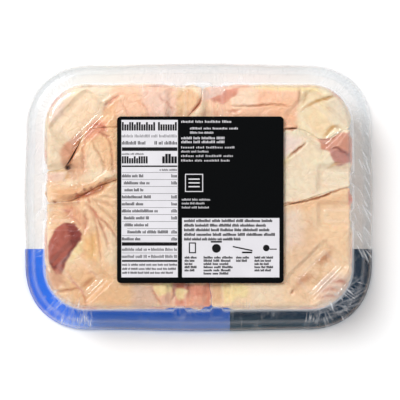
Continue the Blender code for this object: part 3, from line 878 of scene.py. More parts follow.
def build_thigh(name, material):
    """The fine mesh of one thigh, with its colours stored on its points."""
    middle, *limits = THIGHS[name]
    middle = np.array(middle)
    outline = thigh_outline(middle, limits)
    walked = walked_along(outline)
    rings = int(round(walked[-1] / CELL / 8))
    out, around = square_rings(rings)
    edge = at_shares(around, walked, outline)
    flat = middle + out[:, None] * (edge - middle)
    quads, ring = grid_faces(rings)
    count = len(ring)

    sink, top_colour, top_meat = skin_surface(flat[:, 0], flat[:, 1], limits)
    roof = MEAT_TOP - sink
    dent = RECESS_DEPTH + RECESS_CLEARANCE - TRAY_WALL
    pressed = MEAT_TOP - dent * ease(1 - recess_distance(flat[:, 0], flat[:, 1]) / DENT_SOFTNESS)
    roof = np.minimum(roof, pressed)
    top = np.column_stack([flat, roof])

    foot = middle + FOOT_SCALE * (flat - middle)
    rise, foot_colour, foot_meat = skin_surface(flat[:, 0], flat[:, 1], limits, mirrored=True)
    inside = thigh_depth(flat[:, 0], flat[:, 1], limits)
    rise = np.maximum(edge_drop(inside, FOOT_ROUND), 0.6 * rise)
    bottom = np.column_stack([foot, MEAT_BOTTOM + rise])

    sides, tones = thigh_sides(name, middle, limits, top[ring], bottom[ring])
    first_side = len(top) + len(bottom)
    loops = [ring] + [first_side + row * count + np.arange(count) for row in range(SIDE_ROWS - 1)]
    loops.append(len(top) + ring)
    faces = [quads, quads[:, ::-1] + len(top)]
    for high, low in zip(loops, loops[1:]):
        faces.append(np.stack([high, low, np.roll(low, -1), np.roll(high, -1)], -1))
    fade = np.linspace(0, 1, SIDE_ROWS + 1)[1:-1, None, None]
    side_colour = (top_colour[ring] * (1 - fade) + foot_colour[ring] * fade).reshape(-1, 3)
    fold, lump, crease = tones.T
    # The sides' own fat and pink tones, then painted shade in their creases
    for tone, cover in (
        (YELLOW_FAT, SIDE_FAT * ease((lump - 0.55) / 0.25)),
        (SIDE_PINK, SIDE_ROSE * ease((fold - 0.45) / 0.25)),
        (RED_BROWN, SIDE_CREASE_SHADE * crease),
    ):
        side_colour += cover[:, None] * (tone - side_colour)
    side_meat = (top_meat[ring] * (1 - fade[..., 0]) + foot_meat[ring] * fade[..., 0]).ravel()

    made = mesh_piece(
        name.replace("thigh", "raw_thigh"), np.vstack([top, bottom, sides]), np.vstack(faces), material
    )
    point_values(made, "skin_colour", np.vstack([top_colour, foot_colour, side_colour]))
    point_values(made, "bare_meat", np.concatenate([top_meat, foot_meat, side_meat]))
    print(made.name, len(made.data.vertices), "points")
    return belongs(made, "raw_chicken", name)


# %% [markdown]
# ## The skin's finish
#
# Raw skin is moist and lets light in a little way, so its shadows look warm. The
# material takes the painted colour from the points, breaks it up with fine noise,
# and adds pores as bump. Bare meat gets longer, stringy noise instead of pores.

# %% Node helpers
def new_material(name):
    """An empty node material and its node tree."""
    material = bpy.data.materials.new(name)
    material.use_nodes = True
    material.node_tree.nodes.clear()
    return material, material.node_tree


def add_node(tree, kind, **settings):
    """Add a node and set its properties."""
    node = tree.nodes.new(kind)
    for key, value in settings.items():
        setattr(node, key, value)
    return node


def set_inputs(node, **values):
    """Set a node's sockets by name, with _ for a space."""
    for key, value in values.items():
        node.inputs[key.replace("_", " ")].default_value = value


def wire(tree, source, output, target, socket):
    """Join one node's output to another's input."""
    tree.links.new(source.outputs[output], target.inputs[socket])


def maths(tree, operation, source, output, other, clamp=False):
    """A maths node on one output and on a number, or on another (node, output)."""
    node = add_node(tree, "ShaderNodeMath", operation=operation, use_clamp=clamp)
    wire(tree, source, output, node, 0)
    if isinstance(other, tuple):
        wire(tree, *other, node, 1)
    else:
        node.inputs[1].default_value = other
    return node


def ranged(tree, source, output, start, stop, low=0.0, high=1.0, smooth=False):
    """Map the span from start to stop onto the span from low to high."""
    node = add_node(tree, "ShaderNodeMapRange", interpolation_type="SMOOTHSTEP" if smooth else "LINEAR")
    set_inputs(node, From_Min=start, From_Max=stop, To_Min=low, To_Max=high)
    wire(tree, source, output, node, "Value")
    return node


def stretched(tree, source, output, scale, **placing):
    """Coordinates scaled along each axis."""
    node = add_node(tree, "ShaderNodeMapping")
    set_inputs(node, Scale=scale, **placing)
    wire(tree, source, output, node, "Vector")
    return node


def noise_node(tree, source, output, scale, detail, distortion=0.0, roughness=0.55):
    """A noise texture over some coordinates."""
    noise = add_node(tree, "ShaderNodeTexNoise")
    set_inputs(noise, Scale=scale, Detail=detail, Roughness=roughness, Distortion=distortion)
    wire(tree, source, output, noise, "Vector")
    return noise


def thin_lines(tree, noise, width):
    """Thin winding lines where a noise passes through its middle value: 1 on a line, 0 off it."""
    shifted = maths(tree, "SUBTRACT", noise, "Fac", 0.5)
    away = maths(tree, "ABSOLUTE", shifted, "Value", 0.0)
    return ranged(tree, away, "Value", 0.0, width, 1.0, 0.0, smooth=True)


def tinted(tree, colour, output, factor, factor_output, strength, tone, blend="MULTIPLY"):
    """Blend one tone into a colour, by a factor scaled to a strength."""
    scaled = maths(tree, "MULTIPLY", factor, factor_output, strength, clamp=True)
    mixed = add_node(tree, "ShaderNodeMix", data_type="RGBA", blend_type=blend)
    wire(tree, scaled, "Value", mixed, 0)
    wire(tree, colour, output, mixed, 6)
    mixed.inputs[7].default_value = (*tone, 1.0)
    return mixed


def cloudy_tone(tree, place, scale, detail, low, high):
    """A tone that drifts between two colours; returns it with the noise that moves it."""
    cloud = noise_node(tree, place, "Object", scale, detail, roughness=0.5)
    tones = add_node(tree, "ShaderNodeValToRGB")
    tones.color_ramp.elements[0].color = (*low, 1.0)
    tones.color_ramp.elements[1].color = (*high, 1.0)
    wire(tree, cloud, "Fac", tones, "Fac")
    return tones, cloud


def surface(tree, shader, output="BSDF"):
    """End a material with a shader."""
    end = add_node(tree, "ShaderNodeOutputMaterial")
    wire(tree, shader, output, end, "Surface")


def finish(tree, base, output, **values):
    """End a material with a principled shader of the given base colour."""
    shader = add_node(tree, "ShaderNodeBsdfPrincipled")
    set_inputs(shader, **values)
    wire(tree, base, output, shader, "Base Color")
    surface(tree, shader)
    return shader


# %% Raw skin material
def raw_skin():
    """Moist raw chicken: painted tones, mottling, veins, fine wrinkles, pores and wet gloss."""
    material, tree = new_material("raw_skin")
    place = add_node(tree, "ShaderNodeTexCoord")
    tone = add_node(tree, "ShaderNodeAttribute", attribute_name="skin_colour")
    meat = add_node(tree, "ShaderNodeAttribute", attribute_name="bare_meat")

    broad = ranged(tree, noise_node(tree, place, "Object", 48.0, 4.0, 0.4), "Fac", 0.40, 0.62)
    rosy = tinted(tree, tone, "Color", broad, "Result", 0.55, (1.0, 0.90, 0.86))
    veins = thin_lines(tree, noise_node(tree, place, "Object", 58.0, 2.0, 1.0), 0.016)
    veined = tinted(tree, rosy, 2, veins, "Result", 0.20, (0.86, 0.50, 0.38))
    wrinkles = thin_lines(tree, noise_node(tree, place, "Object", 130.0, 1.5, 0.6), 0.060)
    wrinkled = tinted(tree, veined, 2, wrinkles, "Result", 0.13, (0.88, 0.70, 0.54))

    mottle = noise_node(tree, place, "Object", 330.0, 4.0)
    mottled = ranged(tree, mottle, "Fac", 0.3, 0.7, 0.94, 1.08)
    blush = add_node(tree, "ShaderNodeHueSaturation")
    wire(tree, wrinkled, 2, blush, "Color")
    wire(tree, mottled, "Result", blush, "Value")

    pores = add_node(tree, "ShaderNodeTexVoronoi")
    set_inputs(pores, Scale=560.0, Randomness=1.0)
    wire(tree, place, "Object", pores, "Vector")
    along_fibres = stretched(tree, place, "Object", (1.0, 0.18, 1.0), Rotation=(0.0, 0.0, 0.9))
    fibres = noise_node(tree, along_fibres, "Vector", 900.0, 3.0, roughness=0.5)
    grain = add_node(tree, "ShaderNodeMix", data_type="FLOAT")
    wire(tree, meat, "Fac", grain, "Factor")
    wire(tree, pores, "Distance", grain, "A")
    wire(tree, fibres, "Fac", grain, "B")
    pore_bump = add_node(tree, "ShaderNodeBump")
    set_inputs(pore_bump, Strength=0.45, Distance=0.0003)
    wire(tree, grain, "Result", pore_bump, "Height")
    wrinkle_bump = add_node(tree, "ShaderNodeBump", invert=True)
    set_inputs(wrinkle_bump, Strength=0.35, Distance=0.0005)
    wire(tree, wrinkles, "Result", wrinkle_bump, "Height")
    wire(tree, pore_bump, "Normal", wrinkle_bump, "Normal")

    wet = ranged(tree, mottle, "Fac", 0.35, 0.65, 0.28, 0.46)
    shader = finish(
        tree, blush, "Color",
        Subsurface_Weight=0.20, Subsurface_Radius=(1.0, 0.42, 0.25), Subsurface_Scale=0.0016,
        Coat_Weight=0.40, Coat_Roughness=0.14, IOR=1.40,
    )
    wire(tree, wet, "Result", shader, "Roughness")
    wire(tree, wrinkle_bump, "Normal", shader, "Normal")
    return material


# %% Make the six thighs
skin = raw_skin()
thighs = [build_thigh(name, skin) for name in THIGHS]

# %% [markdown]
# ## Clear plastic
#
# Thin clear plastic hardly bends light, so it is made as a mix of a transparent and
# a glossy shader. The Fresnel node picks the share: nearly all transparent when seen
# straight on, more like a mirror at a slant. A colour ramp holds that share low,
# because a thin sheet never turns as white as a thick pane of glass does. A milky
# white is mixed in where the points ask for it: a painted highlight on the tray's
# shoulder, along its lip and on the steps beside its ribs and pads, a milky band at
# the foot of its wall, and a painted highlight along the film's crease ridges. Where
# the film is gathered it shows fine white lines, painted highlights of its fine
# creases, which are noise stretched across the outline.

# %% Clear plastic material
def hair_line_glints(tree, name, strength):
    """Fine white lines, painted highlights of the film's fine creases, that run across the outline where it
    is gathered.
    """
    gathers = add_node(tree, "ShaderNodeAttribute", attribute_name=name)
    parts = add_node(tree, "ShaderNodeSeparateXYZ")
    wire(tree, gathers, "Vector", parts, "Vector")
    across = stretched(tree, gathers, "Vector", (560.0, 34.0, 0.0))
    lines = thin_lines(tree, noise_node(tree, across, "Vector", 1.0, 1.5, 0.12, 0.5), 0.045)
    loose = stretched(tree, gathers, "Vector", (170.0, 110.0, 0.0), Location=(3.0, 5.0, 0.0))
    groups = noise_node(tree, loose, "Vector", 1.0, 2.0, roughness=0.5)
    held = ranged(tree, groups, "Fac", 0.46, 0.66, 0.0, strength)
    placed = maths(tree, "MULTIPLY", held, "Result", (parts, "Z"))
    return maths(tree, "MULTIPLY", placed, "Value", (lines, "Result"), clamp=True)


def clear_plastic(name, tint, roughness, shares, haze_and_sheen, hair_glints=None):
    """A clear sheet; shares are its mirror parts seen straight on, leaning and at a low slant.

    The last two arguments each name point values and a strength: the first turns it milky,
    partly haze and partly a painted highlight; the second draws fine white painted highlights.
    """
    material, tree = new_material(name)
    fresnel = add_node(tree, "ShaderNodeFresnel")
    set_inputs(fresnel, IOR=1.50)
    share = add_node(tree, "ShaderNodeValToRGB")
    ramp = share.color_ramp
    ramp.elements[0].position = 0.045
    ramp.elements[1].position = 1.0
    ramp.elements.new(0.10)
    for element, part in zip(ramp.elements, shares):
        element.color = (part, part, part, 1.0)
    wire(tree, fresnel, "Fac", share, "Fac")
    through = add_node(tree, "ShaderNodeBsdfTransparent")
    set_inputs(through, Color=(*tint, 1.0))
    mirror = add_node(tree, "ShaderNodeBsdfAnisotropic")
    set_inputs(mirror, Color=(1.0, 1.0, 1.0, 1.0), Roughness=roughness)
    sheet = add_node(tree, "ShaderNodeMixShader")
    wire(tree, share, "Color", sheet, "Fac")
    wire(tree, through, "BSDF", sheet, 1)
    wire(tree, mirror, "BSDF", sheet, 2)
    # Milky white where the points ask for it: mostly a painted highlight standing in for light caught by
    # edges and creases
    white_share = add_node(tree, "ShaderNodeAttribute", attribute_name=haze_and_sheen[0])
    milky_sheen = maths(tree, "MULTIPLY", white_share, "Fac", haze_and_sheen[1], clamp=True)
    if hair_glints:
        milky_sheen = maths(tree, "MAXIMUM", milky_sheen, "Value", (hair_line_glints(tree, *hair_glints), "Value"))
    milky = add_node(tree, "ShaderNodeBsdfDiffuse")
    set_inputs(milky, Color=(0.92, 0.94, 0.97, 1.0))
    both = add_node(tree, "ShaderNodeMixShader")
    wire(tree, milky_sheen, "Value", both, "Fac")
    wire(tree, sheet, "Shader", both, 1)
    wire(tree, milky, "BSDF", both, 2)
    surface(tree, both, "Shader")
    return material


# %% [markdown]
# ## Outline rings
#
# The tray and the film are both stacks of rings that follow the pack's outline. One
# function gives the points of a ring for any flare, each with its outward
# direction, so a whole skin is made by joining one ring to the next.

# %% Rings of the outline
CORNER_POINTS = 130
LONG_POINTS = 250
SHORT_POINTS = 160
QUARTER = math.pi / 2
CORNER_SIGNS = ((1, 1), (-1, 1), (-1, -1), (1, -1))
# The rim turns its corners a little squarer than a circle does
CORNER_FULLNESS = 0.0011


def outline_ring(flare):
    """Points of the pack's outline at one flare, anticlockwise, with their outward direction."""
    reach = BASE_RADIUS + flare
    bow = BASE_BOW + (RIM_BOW - BASE_BOW) * max(flare, 0.0) / RIM_FLARE
    points = []
    outwards = []
    for quarter, (sign_x, sign_y) in enumerate(CORNER_SIGNS):
        centre = np.array([sign_x * CORNER_X, sign_y * CORNER_Y])
        turn = QUARTER * np.linspace(0, 1, CORNER_POINTS, endpoint=False)
        angle = quarter * QUARTER + turn
        fuller = CORNER_FULLNESS * max(flare, 0.0) / RIM_FLARE * np.sin(2 * turn) ** 2
        heading = np.stack([np.cos(angle), np.sin(angle)], 1)
        points.append(centre + (reach + fuller)[:, None] * heading)
        outwards.append(heading)
        next_x, next_y = CORNER_SIGNS[(quarter + 1) % 4]
        end = np.array([next_x * CORNER_X, next_y * CORNER_Y])
        straight = np.array([math.cos((quarter + 1) * QUARTER), math.sin((quarter + 1) * QUARTER)])
        share = np.linspace(0, 1, SHORT_POINTS if quarter % 2 else LONG_POINTS, endpoint=False)[:, None]
        swell = bow * (1 - np.cos(2 * np.pi * share)) / 2
        points.append(centre + share * (end - centre) + (reach + swell) * straight)
        outwards.append(np.repeat(straight[None], len(share), 0))
    return np.vstack(points), np.vstack(outwards)


def strip_faces(rows, count):
    """Faces between each ring and the next, for rings of equal length stored one after another."""
    index = np.arange(count)
    strips = []
    for row in range(rows - 1):
        low = row * count + index
        high = low + count
        strips.append(np.stack([low, np.roll(low, -1), np.roll(high, -1), high], -1))
    return np.vstack(strips)


# %% [markdown]
# ## The tray
#
# A thermoformed tray is one sheet of plastic, so it has no sharp corner anywhere,
# and it is its soft edges that catch the light. The sheet is built as a stretched
# square grid for the base and rings for the wall and the rolled rim. The ribs and
# corner pads are pressed into it afterwards by moving points inward, with a smooth
# step at each edge.

# %% Shape of the tray
TRAY_FILLET = 0.0045
WALL_FOOT = (0.0085, 0.0030)
RIM_LIP = (0.0140, 0.0030)
FLANGE_LEVELS = (0.0006, 0.0014)
RIB_FOOT_HEIGHT = 0.008
RIB_EDGE = 0.0020
PAD_EDGE = 0.0030
BASE_RINGS = 92


def pressed_in(x, y):
    """How deep each point of the base is pressed in, from 0 to 1."""
    deepest = np.zeros(x.shape)
    for side, (outward, along) in enumerate(((x, y), (y, x))):
        edge = (BASE_HALF_X, BASE_HALF_Y)[side]
        half = RIB_REACH[side] / 2 + 0.010
        middle = edge - RIB_REACH[side] + half
        away = box_distance(
            np.abs(outward) - middle, np.abs(along) - RIB_SPACING / 2, half, RIB_WIDTH / 2
        )
        deepest = np.maximum(deepest, ease(-away / RIB_EDGE))
    corner_x = np.abs(x) - PAD_CENTRE[0]
    corner_y = np.abs(y) - PAD_CENTRE[1]
    along = (corner_x - corner_y) / math.sqrt(2)
    across = (corner_x + corner_y) / math.sqrt(2)
    away = box_distance(along, across, PAD_SIZE[0] / 2, PAD_SIZE[1] / 2)
    return np.maximum(deepest, ease(-away / PAD_EDGE))


def tray_rows():
    """Flare, height and tilt of each ring of the tray, from the base's edge to under the rim."""
    slope = math.atan2(WALL_FOOT[0], TRAY_TOP - TRAY_FILLET - WALL_FOOT[1])
    rows = []
    for step in range(9):
        angle = QUARTER + (slope - QUARTER) * step / 8
        rows.append((
            TRAY_FILLET * math.cos(angle) - TRAY_FILLET,
            TRAY_FILLET * math.sin(angle) + TRAY_TOP - TRAY_FILLET,
            angle,
        ))
    top_flare, top_height, _ = rows[-1]
    for step in range(1, 19):
        share = step / 18
        rows.append((
            top_flare + share * (WALL_FOOT[0] - top_flare),
            top_height + share * (WALL_FOOT[1] - top_height),
            slope,
        ))
    low, high = FLANGE_LEVELS
    lip_flare, lip_top = RIM_LIP
    for flare, height in (
        (0.0087, 0.0022), (0.0092, 0.0016), (0.0100, high), (0.0114, high), (0.0126, high),
        (0.0130, 0.0016), (0.0132, 0.0022), (0.0133, 0.0028), (0.0135, lip_top), (0.0138, lip_top),
        (lip_flare, 0.0028), (lip_flare, 0.0018), (lip_flare, 0.0009), (0.0138, low), (0.0120, low),
        (0.0095, low), (0.0080, 0.0010),
    ):
        rows.append((flare, height, 0.0))
    return rows


# Each milky band of the tray has a strength, a flare and a half width; the shoulder and lip bands are
# painted highlights
SHOULDER_SHEEN = (1.35, 0.0004, 0.0011)
FOOT_HAZE = (0.35, 0.0092, 0.0010)
LIP_SHEEN = (0.95, 0.0136, 0.0005)
# Strength of the painted highlight on the steps beside the ribs and pads
STEP_GLINT = 0.30
RIM_TOP = 0.006


def rim_haze_and_sheen(flare, height):
    """How milky the plastic is made: a painted highlight on its shoulder and along its lip, and a milky
    band at the foot of its wall.
    """
    def band(strength, middle, width):
        return strength * math.exp(-(((flare - middle) / width) ** 2))

    if height > RIM_TOP:
        return band(*SHOULDER_SHEEN)
    return max(band(*FOOT_HAZE), band(*LIP_SHEEN))


def step_glint(pressed):
    """Painted highlight: the steps beside the ribs and pads get a milky white line that stands in for the
    glints on their edges.
    """
    return STEP_GLINT * 4 * pressed * (1 - pressed)


# %% Build the tray
def build_tray(material):
    """The tray as one smooth sheet."""
    rows = tray_rows()
    out, around = square_rings(BASE_RINGS)
    quads, edge_ring = grid_faces(BASE_RINGS)

    first, _ = outline_ring(-TRAY_FILLET)
    start = -(SHORT_POINTS // 2)
    first = np.roll(first, -start, axis=0)
    closed = np.vstack([first, first[:1]])
    walked = walked_along(closed)

    def spread(values, shares):
        """Values of a ring at shares of the length round its first ring."""
        rolled = np.roll(values, -start, axis=0)
        return at_shares(shares, walked, np.vstack([rolled, rolled[:1]]))

    flat = out[:, None] * spread(outline_ring(-TRAY_FILLET)[0], around)
    base = np.column_stack([flat, TRAY_TOP - RECESS_DEPTH * pressed_in(flat[:, 0], flat[:, 1])])
    corners = [base]
    haze_and_sheen = [step_glint(pressed_in(flat[:, 0], flat[:, 1]))]
    for flare, height, tilt in rows[1:]:
        points, outwards = outline_ring(flare)
        points = spread(points, around[edge_ring])
        outwards = spread(outwards, around[edge_ring])
        pressed = RECESS_DEPTH * pressed_in(points[:, 0], points[:, 1])
        pressed *= ease((height - RIB_FOOT_HEIGHT) / 0.004)
        moved = points - outwards * (pressed * math.cos(tilt))[:, None]
        corners.append(np.column_stack([moved, height - pressed * math.sin(tilt)]))
        haze_and_sheen.append(np.maximum(rim_haze_and_sheen(flare, height), step_glint(pressed / RECESS_DEPTH)))
    count = len(edge_ring)
    lower = strip_faces(len(rows) - 1, count) + len(base)
    wall_ring = len(base) + np.arange(count)
    join = np.stack([edge_ring, np.roll(edge_ring, -1), np.roll(wall_ring, -1), wall_ring], -1)
    faces = np.vstack([quads, join[:, ::-1], lower[:, ::-1]])
    made = mesh_piece("tray_shell", np.vstack(corners), faces, material)
    point_values(made, "rim_haze_and_sheen", np.concatenate(haze_and_sheen))
    print("tray has", len(made.data.vertices), "points")
    return belongs(made, "tray", "tray")


tray_plastic = clear_plastic(
    "tray_plastic", tint=(0.975, 0.986, 0.992), roughness=0.07, shares=(0.036, 0.012, 0.09),
    haze_and_sheen=("rim_haze_and_sheen", 0.28),
)
tray = build_tray(tray_plastic)

# %% [markdown]
# ## The film
#
# The film is one thin sheet: flat over the pack's front, round the rim, up in a
# tent to the edge of the base, and flat over the base. Heat shrinks it tight, and
# the slack gathers into fine creases: fans at the corners, short slanted strokes
# along the sides. Each crease is a straight stroke over the picture. Points near a
# stroke are lifted a little, which makes a narrow ridge that catches the light, and
# the ridge is also painted milky white as a painted highlight.

# %% Rings of the film
RIM_HEIGHT = 0.0032
FILM_LIFT = 0.00015
TENT_ROWS = 30


def film_rows():
    """Flare, height and tilt of each ring of the film."""
    rows = [(RIM_FLARE - 0.0018, 0.0), (RIM_FLARE - 0.0009, 0.0001), (RIM_FLARE - 0.0003, 0.0006)]
    rows += [(RIM_FLARE - 0.00005, 0.0012), (RIM_FLARE, 0.0020), (RIM_FLARE - 0.00005, RIM_HEIGHT - 0.0003)]
    rows = [(flare, FILM_LIFT + height, 0.0) for flare, height in rows]
    rise = TRAY_TOP - TRAY_FILLET - RIM_HEIGHT
    slope = math.atan2(RIM_FLARE, rise)
    radius = TRAY_FILLET + FILM_TOP - FILM_LIFT - TRAY_TOP
    top_flare = radius * math.cos(slope) - TRAY_FILLET
    top_height = TRAY_TOP - TRAY_FILLET + radius * math.sin(slope)
    for row in range(TENT_ROWS):
        share = row / TENT_ROWS
        flare = RIM_FLARE - 0.0002 + share * (top_flare - RIM_FLARE + 0.0002)
        rows.append((flare, RIM_HEIGHT + share * (top_height - RIM_HEIGHT), slope))
    for row in range(7):
        angle = slope + (QUARTER - slope) * row / 6
        height = TRAY_TOP - TRAY_FILLET + radius * math.sin(angle)
        rows.append((radius * math.cos(angle) - TRAY_FILLET, height, angle))
    for inset in np.arange(0.0055, 0.0245, 0.0010):
        rows.append((-inset, FILM_TOP - FILM_LIFT, QUARTER))
    return rows


# %% Strokes of the film's creases
CREASE_SEED = 7

# Each fan has a centre in the picture, two limits of direction in degrees, two of distance
# in pixels, a length in pixels, how many strokes, their strength and their sideways scatter
CREASE_FANS = (
    ((292, 322), (12, 62), (14, 66), (16, 42), 48, 0.9, 3.0),
    ((318, 300), (-95, -5), (4, 26), (10, 24), 22, 0.9, 4.0),
    ((86, 286), (212, 278), (16, 42), (10, 26), 56, 0.9, 4.0),
    ((300, 120), (14, 62), (46, 78), (6, 18), 60, 0.8, 4.0),
    ((95, 128), (112, 168), (38, 66), (6, 16), 40, 0.45, 4.0),
)
# Each band has two corners in the picture, a direction in degrees, a length in pixels,
# how many strokes and their strength
CREASE_BANDS = (
    ((353, 96), (370, 252), -60, (8, 20), 42, 1.7),
    ((25, 112), (46, 236), 4, (5, 14), 70, 0.35),
    ((120, 66), (330, 82), 78, (4, 10), 40, 0.35),
    ((172, 298), (262, 316), 62, (8, 20), 22, 0.5),
    ((120, 306), (300, 328), 100, (4, 9), 20, 0.35),
)
# Each gathering of hair lines has a place in the picture, a radius in pixels and a strength
CREASE_GATHERS = (
    ((344, 300), 22, 1.0), ((324, 318), 14, 0.9), ((64, 308), 18, 1.2), ((78, 320), 14, 1.2),
    ((352, 92), 24, 0.6), ((364, 130), 18, 0.45), ((366, 215), 22, 0.35),
    ((48, 96), 24, 0.5), ((34, 150), 26, 0.30), ((34, 210), 26, 0.35), ((34, 250), 20, 0.3),
    ((150, 68), 40, 0.25), ((250, 68), 40, 0.3), ((170, 322), 34, 0.2), ((250, 322), 30, 0.25),
)
# At the short sides the hair lines lean by this much, and they fade out over the base
GATHER_SLANT = 1.3
GATHER_TURN = 0.02
GATHER_INSET = -0.012
GATHER_FADE = 0.010
# Over the base the film lies on the tray, which holds its creases down
BASE_HOLD = 0.85


def gathered(points):
    """How strongly the film is gathered at each point."""
    most = np.zeros(len(points))
    for place, radius, strength in CREASE_GATHERS:
        away = np.hypot(*(points - on_base([place])[0]).T) / (radius * PIXEL)
        most = np.maximum(most, strength * np.exp(-(away**2)))
    return most


def crease_strokes():
    """Random strokes: start, end, width, height and strength of each."""
    random = np.random.default_rng(CREASE_SEED)
    strokes = []

    def stroke(start, heading, length, strength):
        end = start + length * np.array([math.cos(heading), -math.sin(heading)])
        width = random.uniform(0.00034, 0.00052)
        strokes.append((*on_base([start, end]), width, random.uniform(0.4, 1.0) * width, strength))

    for centre, angles, distances, lengths, count, strength, scatter in CREASE_FANS:
        for _ in range(count):
            heading = math.radians(random.uniform(*angles))
            away = random.uniform(*distances)
            start = np.array(centre) + away * np.array([math.cos(heading), -math.sin(heading)])
            start += random.normal(0, scatter, 2)
            heading += random.normal(0, 0.10)
            stroke(start, heading, random.uniform(*lengths), strength * random.uniform(0.3, 1.0))
    for low, high, angle, lengths, count, strength in CREASE_BANDS:
        for _ in range(count):
            start = np.array([random.uniform(low[0], high[0]), random.uniform(low[1], high[1])])
            heading = math.radians(random.normal(angle, 7))
            stroke(start, heading, random.uniform(*lengths), strength * random.uniform(0.3, 1.0))
    return strokes


# %% Build the film
def build_film(material):
    """The whole film as one closed sheet of rings."""
    rows = film_rows()
    corners = []
    outs = []
    for flare, height, tilt in rows:
        points, outwards = outline_ring(flare)
        corners.append(np.column_stack([points, np.full(len(points), height)]))
        outs.append(np.column_stack([outwards * math.cos(tilt), np.full(len(points), math.sin(tilt))]))
    count = len(corners[0])
    corners = np.vstack(corners)
    outs = np.vstack(outs)
    lift = np.zeros(len(corners))
    milky = np.zeros(len(corners))
    strokes = crease_strokes()
    loose = corners[:, 2] > RIM_HEIGHT
    for start, end, width, tall, strength in strokes:
        ends = np.array([start, end])
        near = np.flatnonzero(loose & near_box(corners[:, 0], corners[:, 1], ends, 3 * width))
        if not len(near):
            continue
        away, where = distance_to_route(corners[near, 0], corners[near, 1], ends)
        ridge = np.exp(-((away / width) ** 2)) * np.sqrt(np.clip(4 * where * (1 - where), 0.0, 1.0))
        room = 1.0 - BASE_HOLD * (outs[near, 2] > 0.9)
        lift[near] = np.maximum(lift[near], tall * ridge * room)
        # Painted highlight: milky white along each crease's ridge
        milky[near] = np.maximum(milky[near], strength * ridge * room)
    rim = corners[5 * count:6 * count, :2]
    walked = walked_along(rim)
    flares = np.repeat([row[0] for row in rows], count)
    beside = ease((np.abs(corners[:, 0]) - CORNER_X) / GATHER_TURN)
    beside *= ease((CORNER_Y - np.abs(corners[:, 1])) / GATHER_TURN)
    along = np.tile(walked, len(rows)) + GATHER_SLANT * beside * np.sign(corners[:, 0]) * flares
    fade = ease((flares - GATHER_INSET) / GATHER_FADE) * (corners[:, 2] > RIM_HEIGHT - 0.001)
    gathers = np.stack([along, flares, fade * gathered(corners[:, :2])], 1)
    corners = corners + outs * lift[:, None]
    faces = strip_faces(len(rows), count).tolist()
    index = np.arange(count)
    faces.append(list(index[::-1]))
    faces.append(list((len(rows) - 1) * count + index))
    made = mesh_piece("stretch_film", corners, faces, material)
    point_values(made, "crease_glint", milky)
    point_values(made, "gathers", gathers)
    print("film has", len(strokes), "creases and", len(made.data.vertices), "points")
    return belongs(made, "film", "film")


film_plastic = clear_plastic(
    "film_plastic", tint=(0.990, 0.994, 0.997), roughness=0.09, shares=(0.022, 0.014, 0.09),
    haze_and_sheen=("crease_glint", 0.36), hair_glints=("gathers", 1.3),
)
film = build_film(film_plastic)

# %% [markdown]
# ## The printed band
#
# The film's front carries a band of solid colour along one long side, bright blue
# and navy, which shows past the meat inside the rim. It is printed on the inside of
# the film, so it is a thin sheet of its own just above it. The sheet is cut by
# straight lines, so the rings are clipped at the band's upper edge.

# %% Build the printed band
BAND_EDGE_Y = -0.0326
BAND_SPLIT_X = 0.0197
INK_LIFT = 0.00028


def clip_below(ring, level):
    """The part of a closed ring below a level, from its left end to its right end."""
    count = len(ring)
    start = next(
        index for index in range(count)
        if ring[index - 1, 1] >= level > ring[index, 1] and ring[index, 0] < 0
    )

    def crossing(here, after):
        share = (level - here[1]) / (after[1] - here[1])
        return here + share * (after - here)

    kept = [crossing(ring[start - 1], ring[start])]
    for step in range(count):
        here = ring[(start + step) % count]
        after = ring[(start + step + 1) % count]
        kept.append(here)
        if after[1] >= level and here[0] > 0:
            kept.append(crossing(here, after))
            break
    return np.array(kept)


def printed_band(blue, navy):
    """The two inks of the band: flat over the front and a little way up the rim."""
    rims = [(RIM_FLARE - 0.0021, 0.0), (RIM_FLARE - 0.0010, 0.0001), (RIM_FLARE - 0.0005, 0.0005)]
    rims += [(RIM_FLARE - 0.0003, 0.0012), (RIM_FLARE - 0.0003, 0.0026)]
    arcs = [clip_below(outline_ring(flare)[0], BAND_EDGE_Y) for flare, _ in rims]
    count = len(arcs[0])
    levels = np.repeat([INK_LIFT + height for _, height in rims], count)
    points = np.column_stack([np.vstack(arcs), levels])
    # The split starts at the nearest point of the long side; other points don't count
    split = int(np.argmin(np.abs(arcs[0][:, 0] - BAND_SPLIT_X) + 10 * (arcs[0][:, 1] > -BASE_HALF_Y)))
    for row in range(len(rims)):
        points[row * count + split, 0] = BAND_SPLIT_X
    points = np.vstack([points, [[BAND_SPLIT_X, BAND_EDGE_Y, INK_LIFT]]])
    top = len(points) - 1
    faces = [list(range(0, split + 1)) + [top], list(range(split, count)) + [top]]
    inks = [0, 1]
    for row in range(len(rims) - 1):
        for index in range(count - 1):
            low = row * count + index
            faces.append([low + 1, low, low + count, low + count + 1])
            inks.append(0 if index < split else 1)
    made = mesh_piece("printed_band", points, faces, blue)
    made.data.materials.append(navy)
    made.data.polygons.foreach_set("material_index", np.array(inks, np.int32))
    return belongs(made, "film")


# Past this y the ink turns up with the film, and a painted highlight makes it paler until the next y
BAND_SHEEN_FROM = -0.0740
BAND_SHEEN_TO = -0.0830


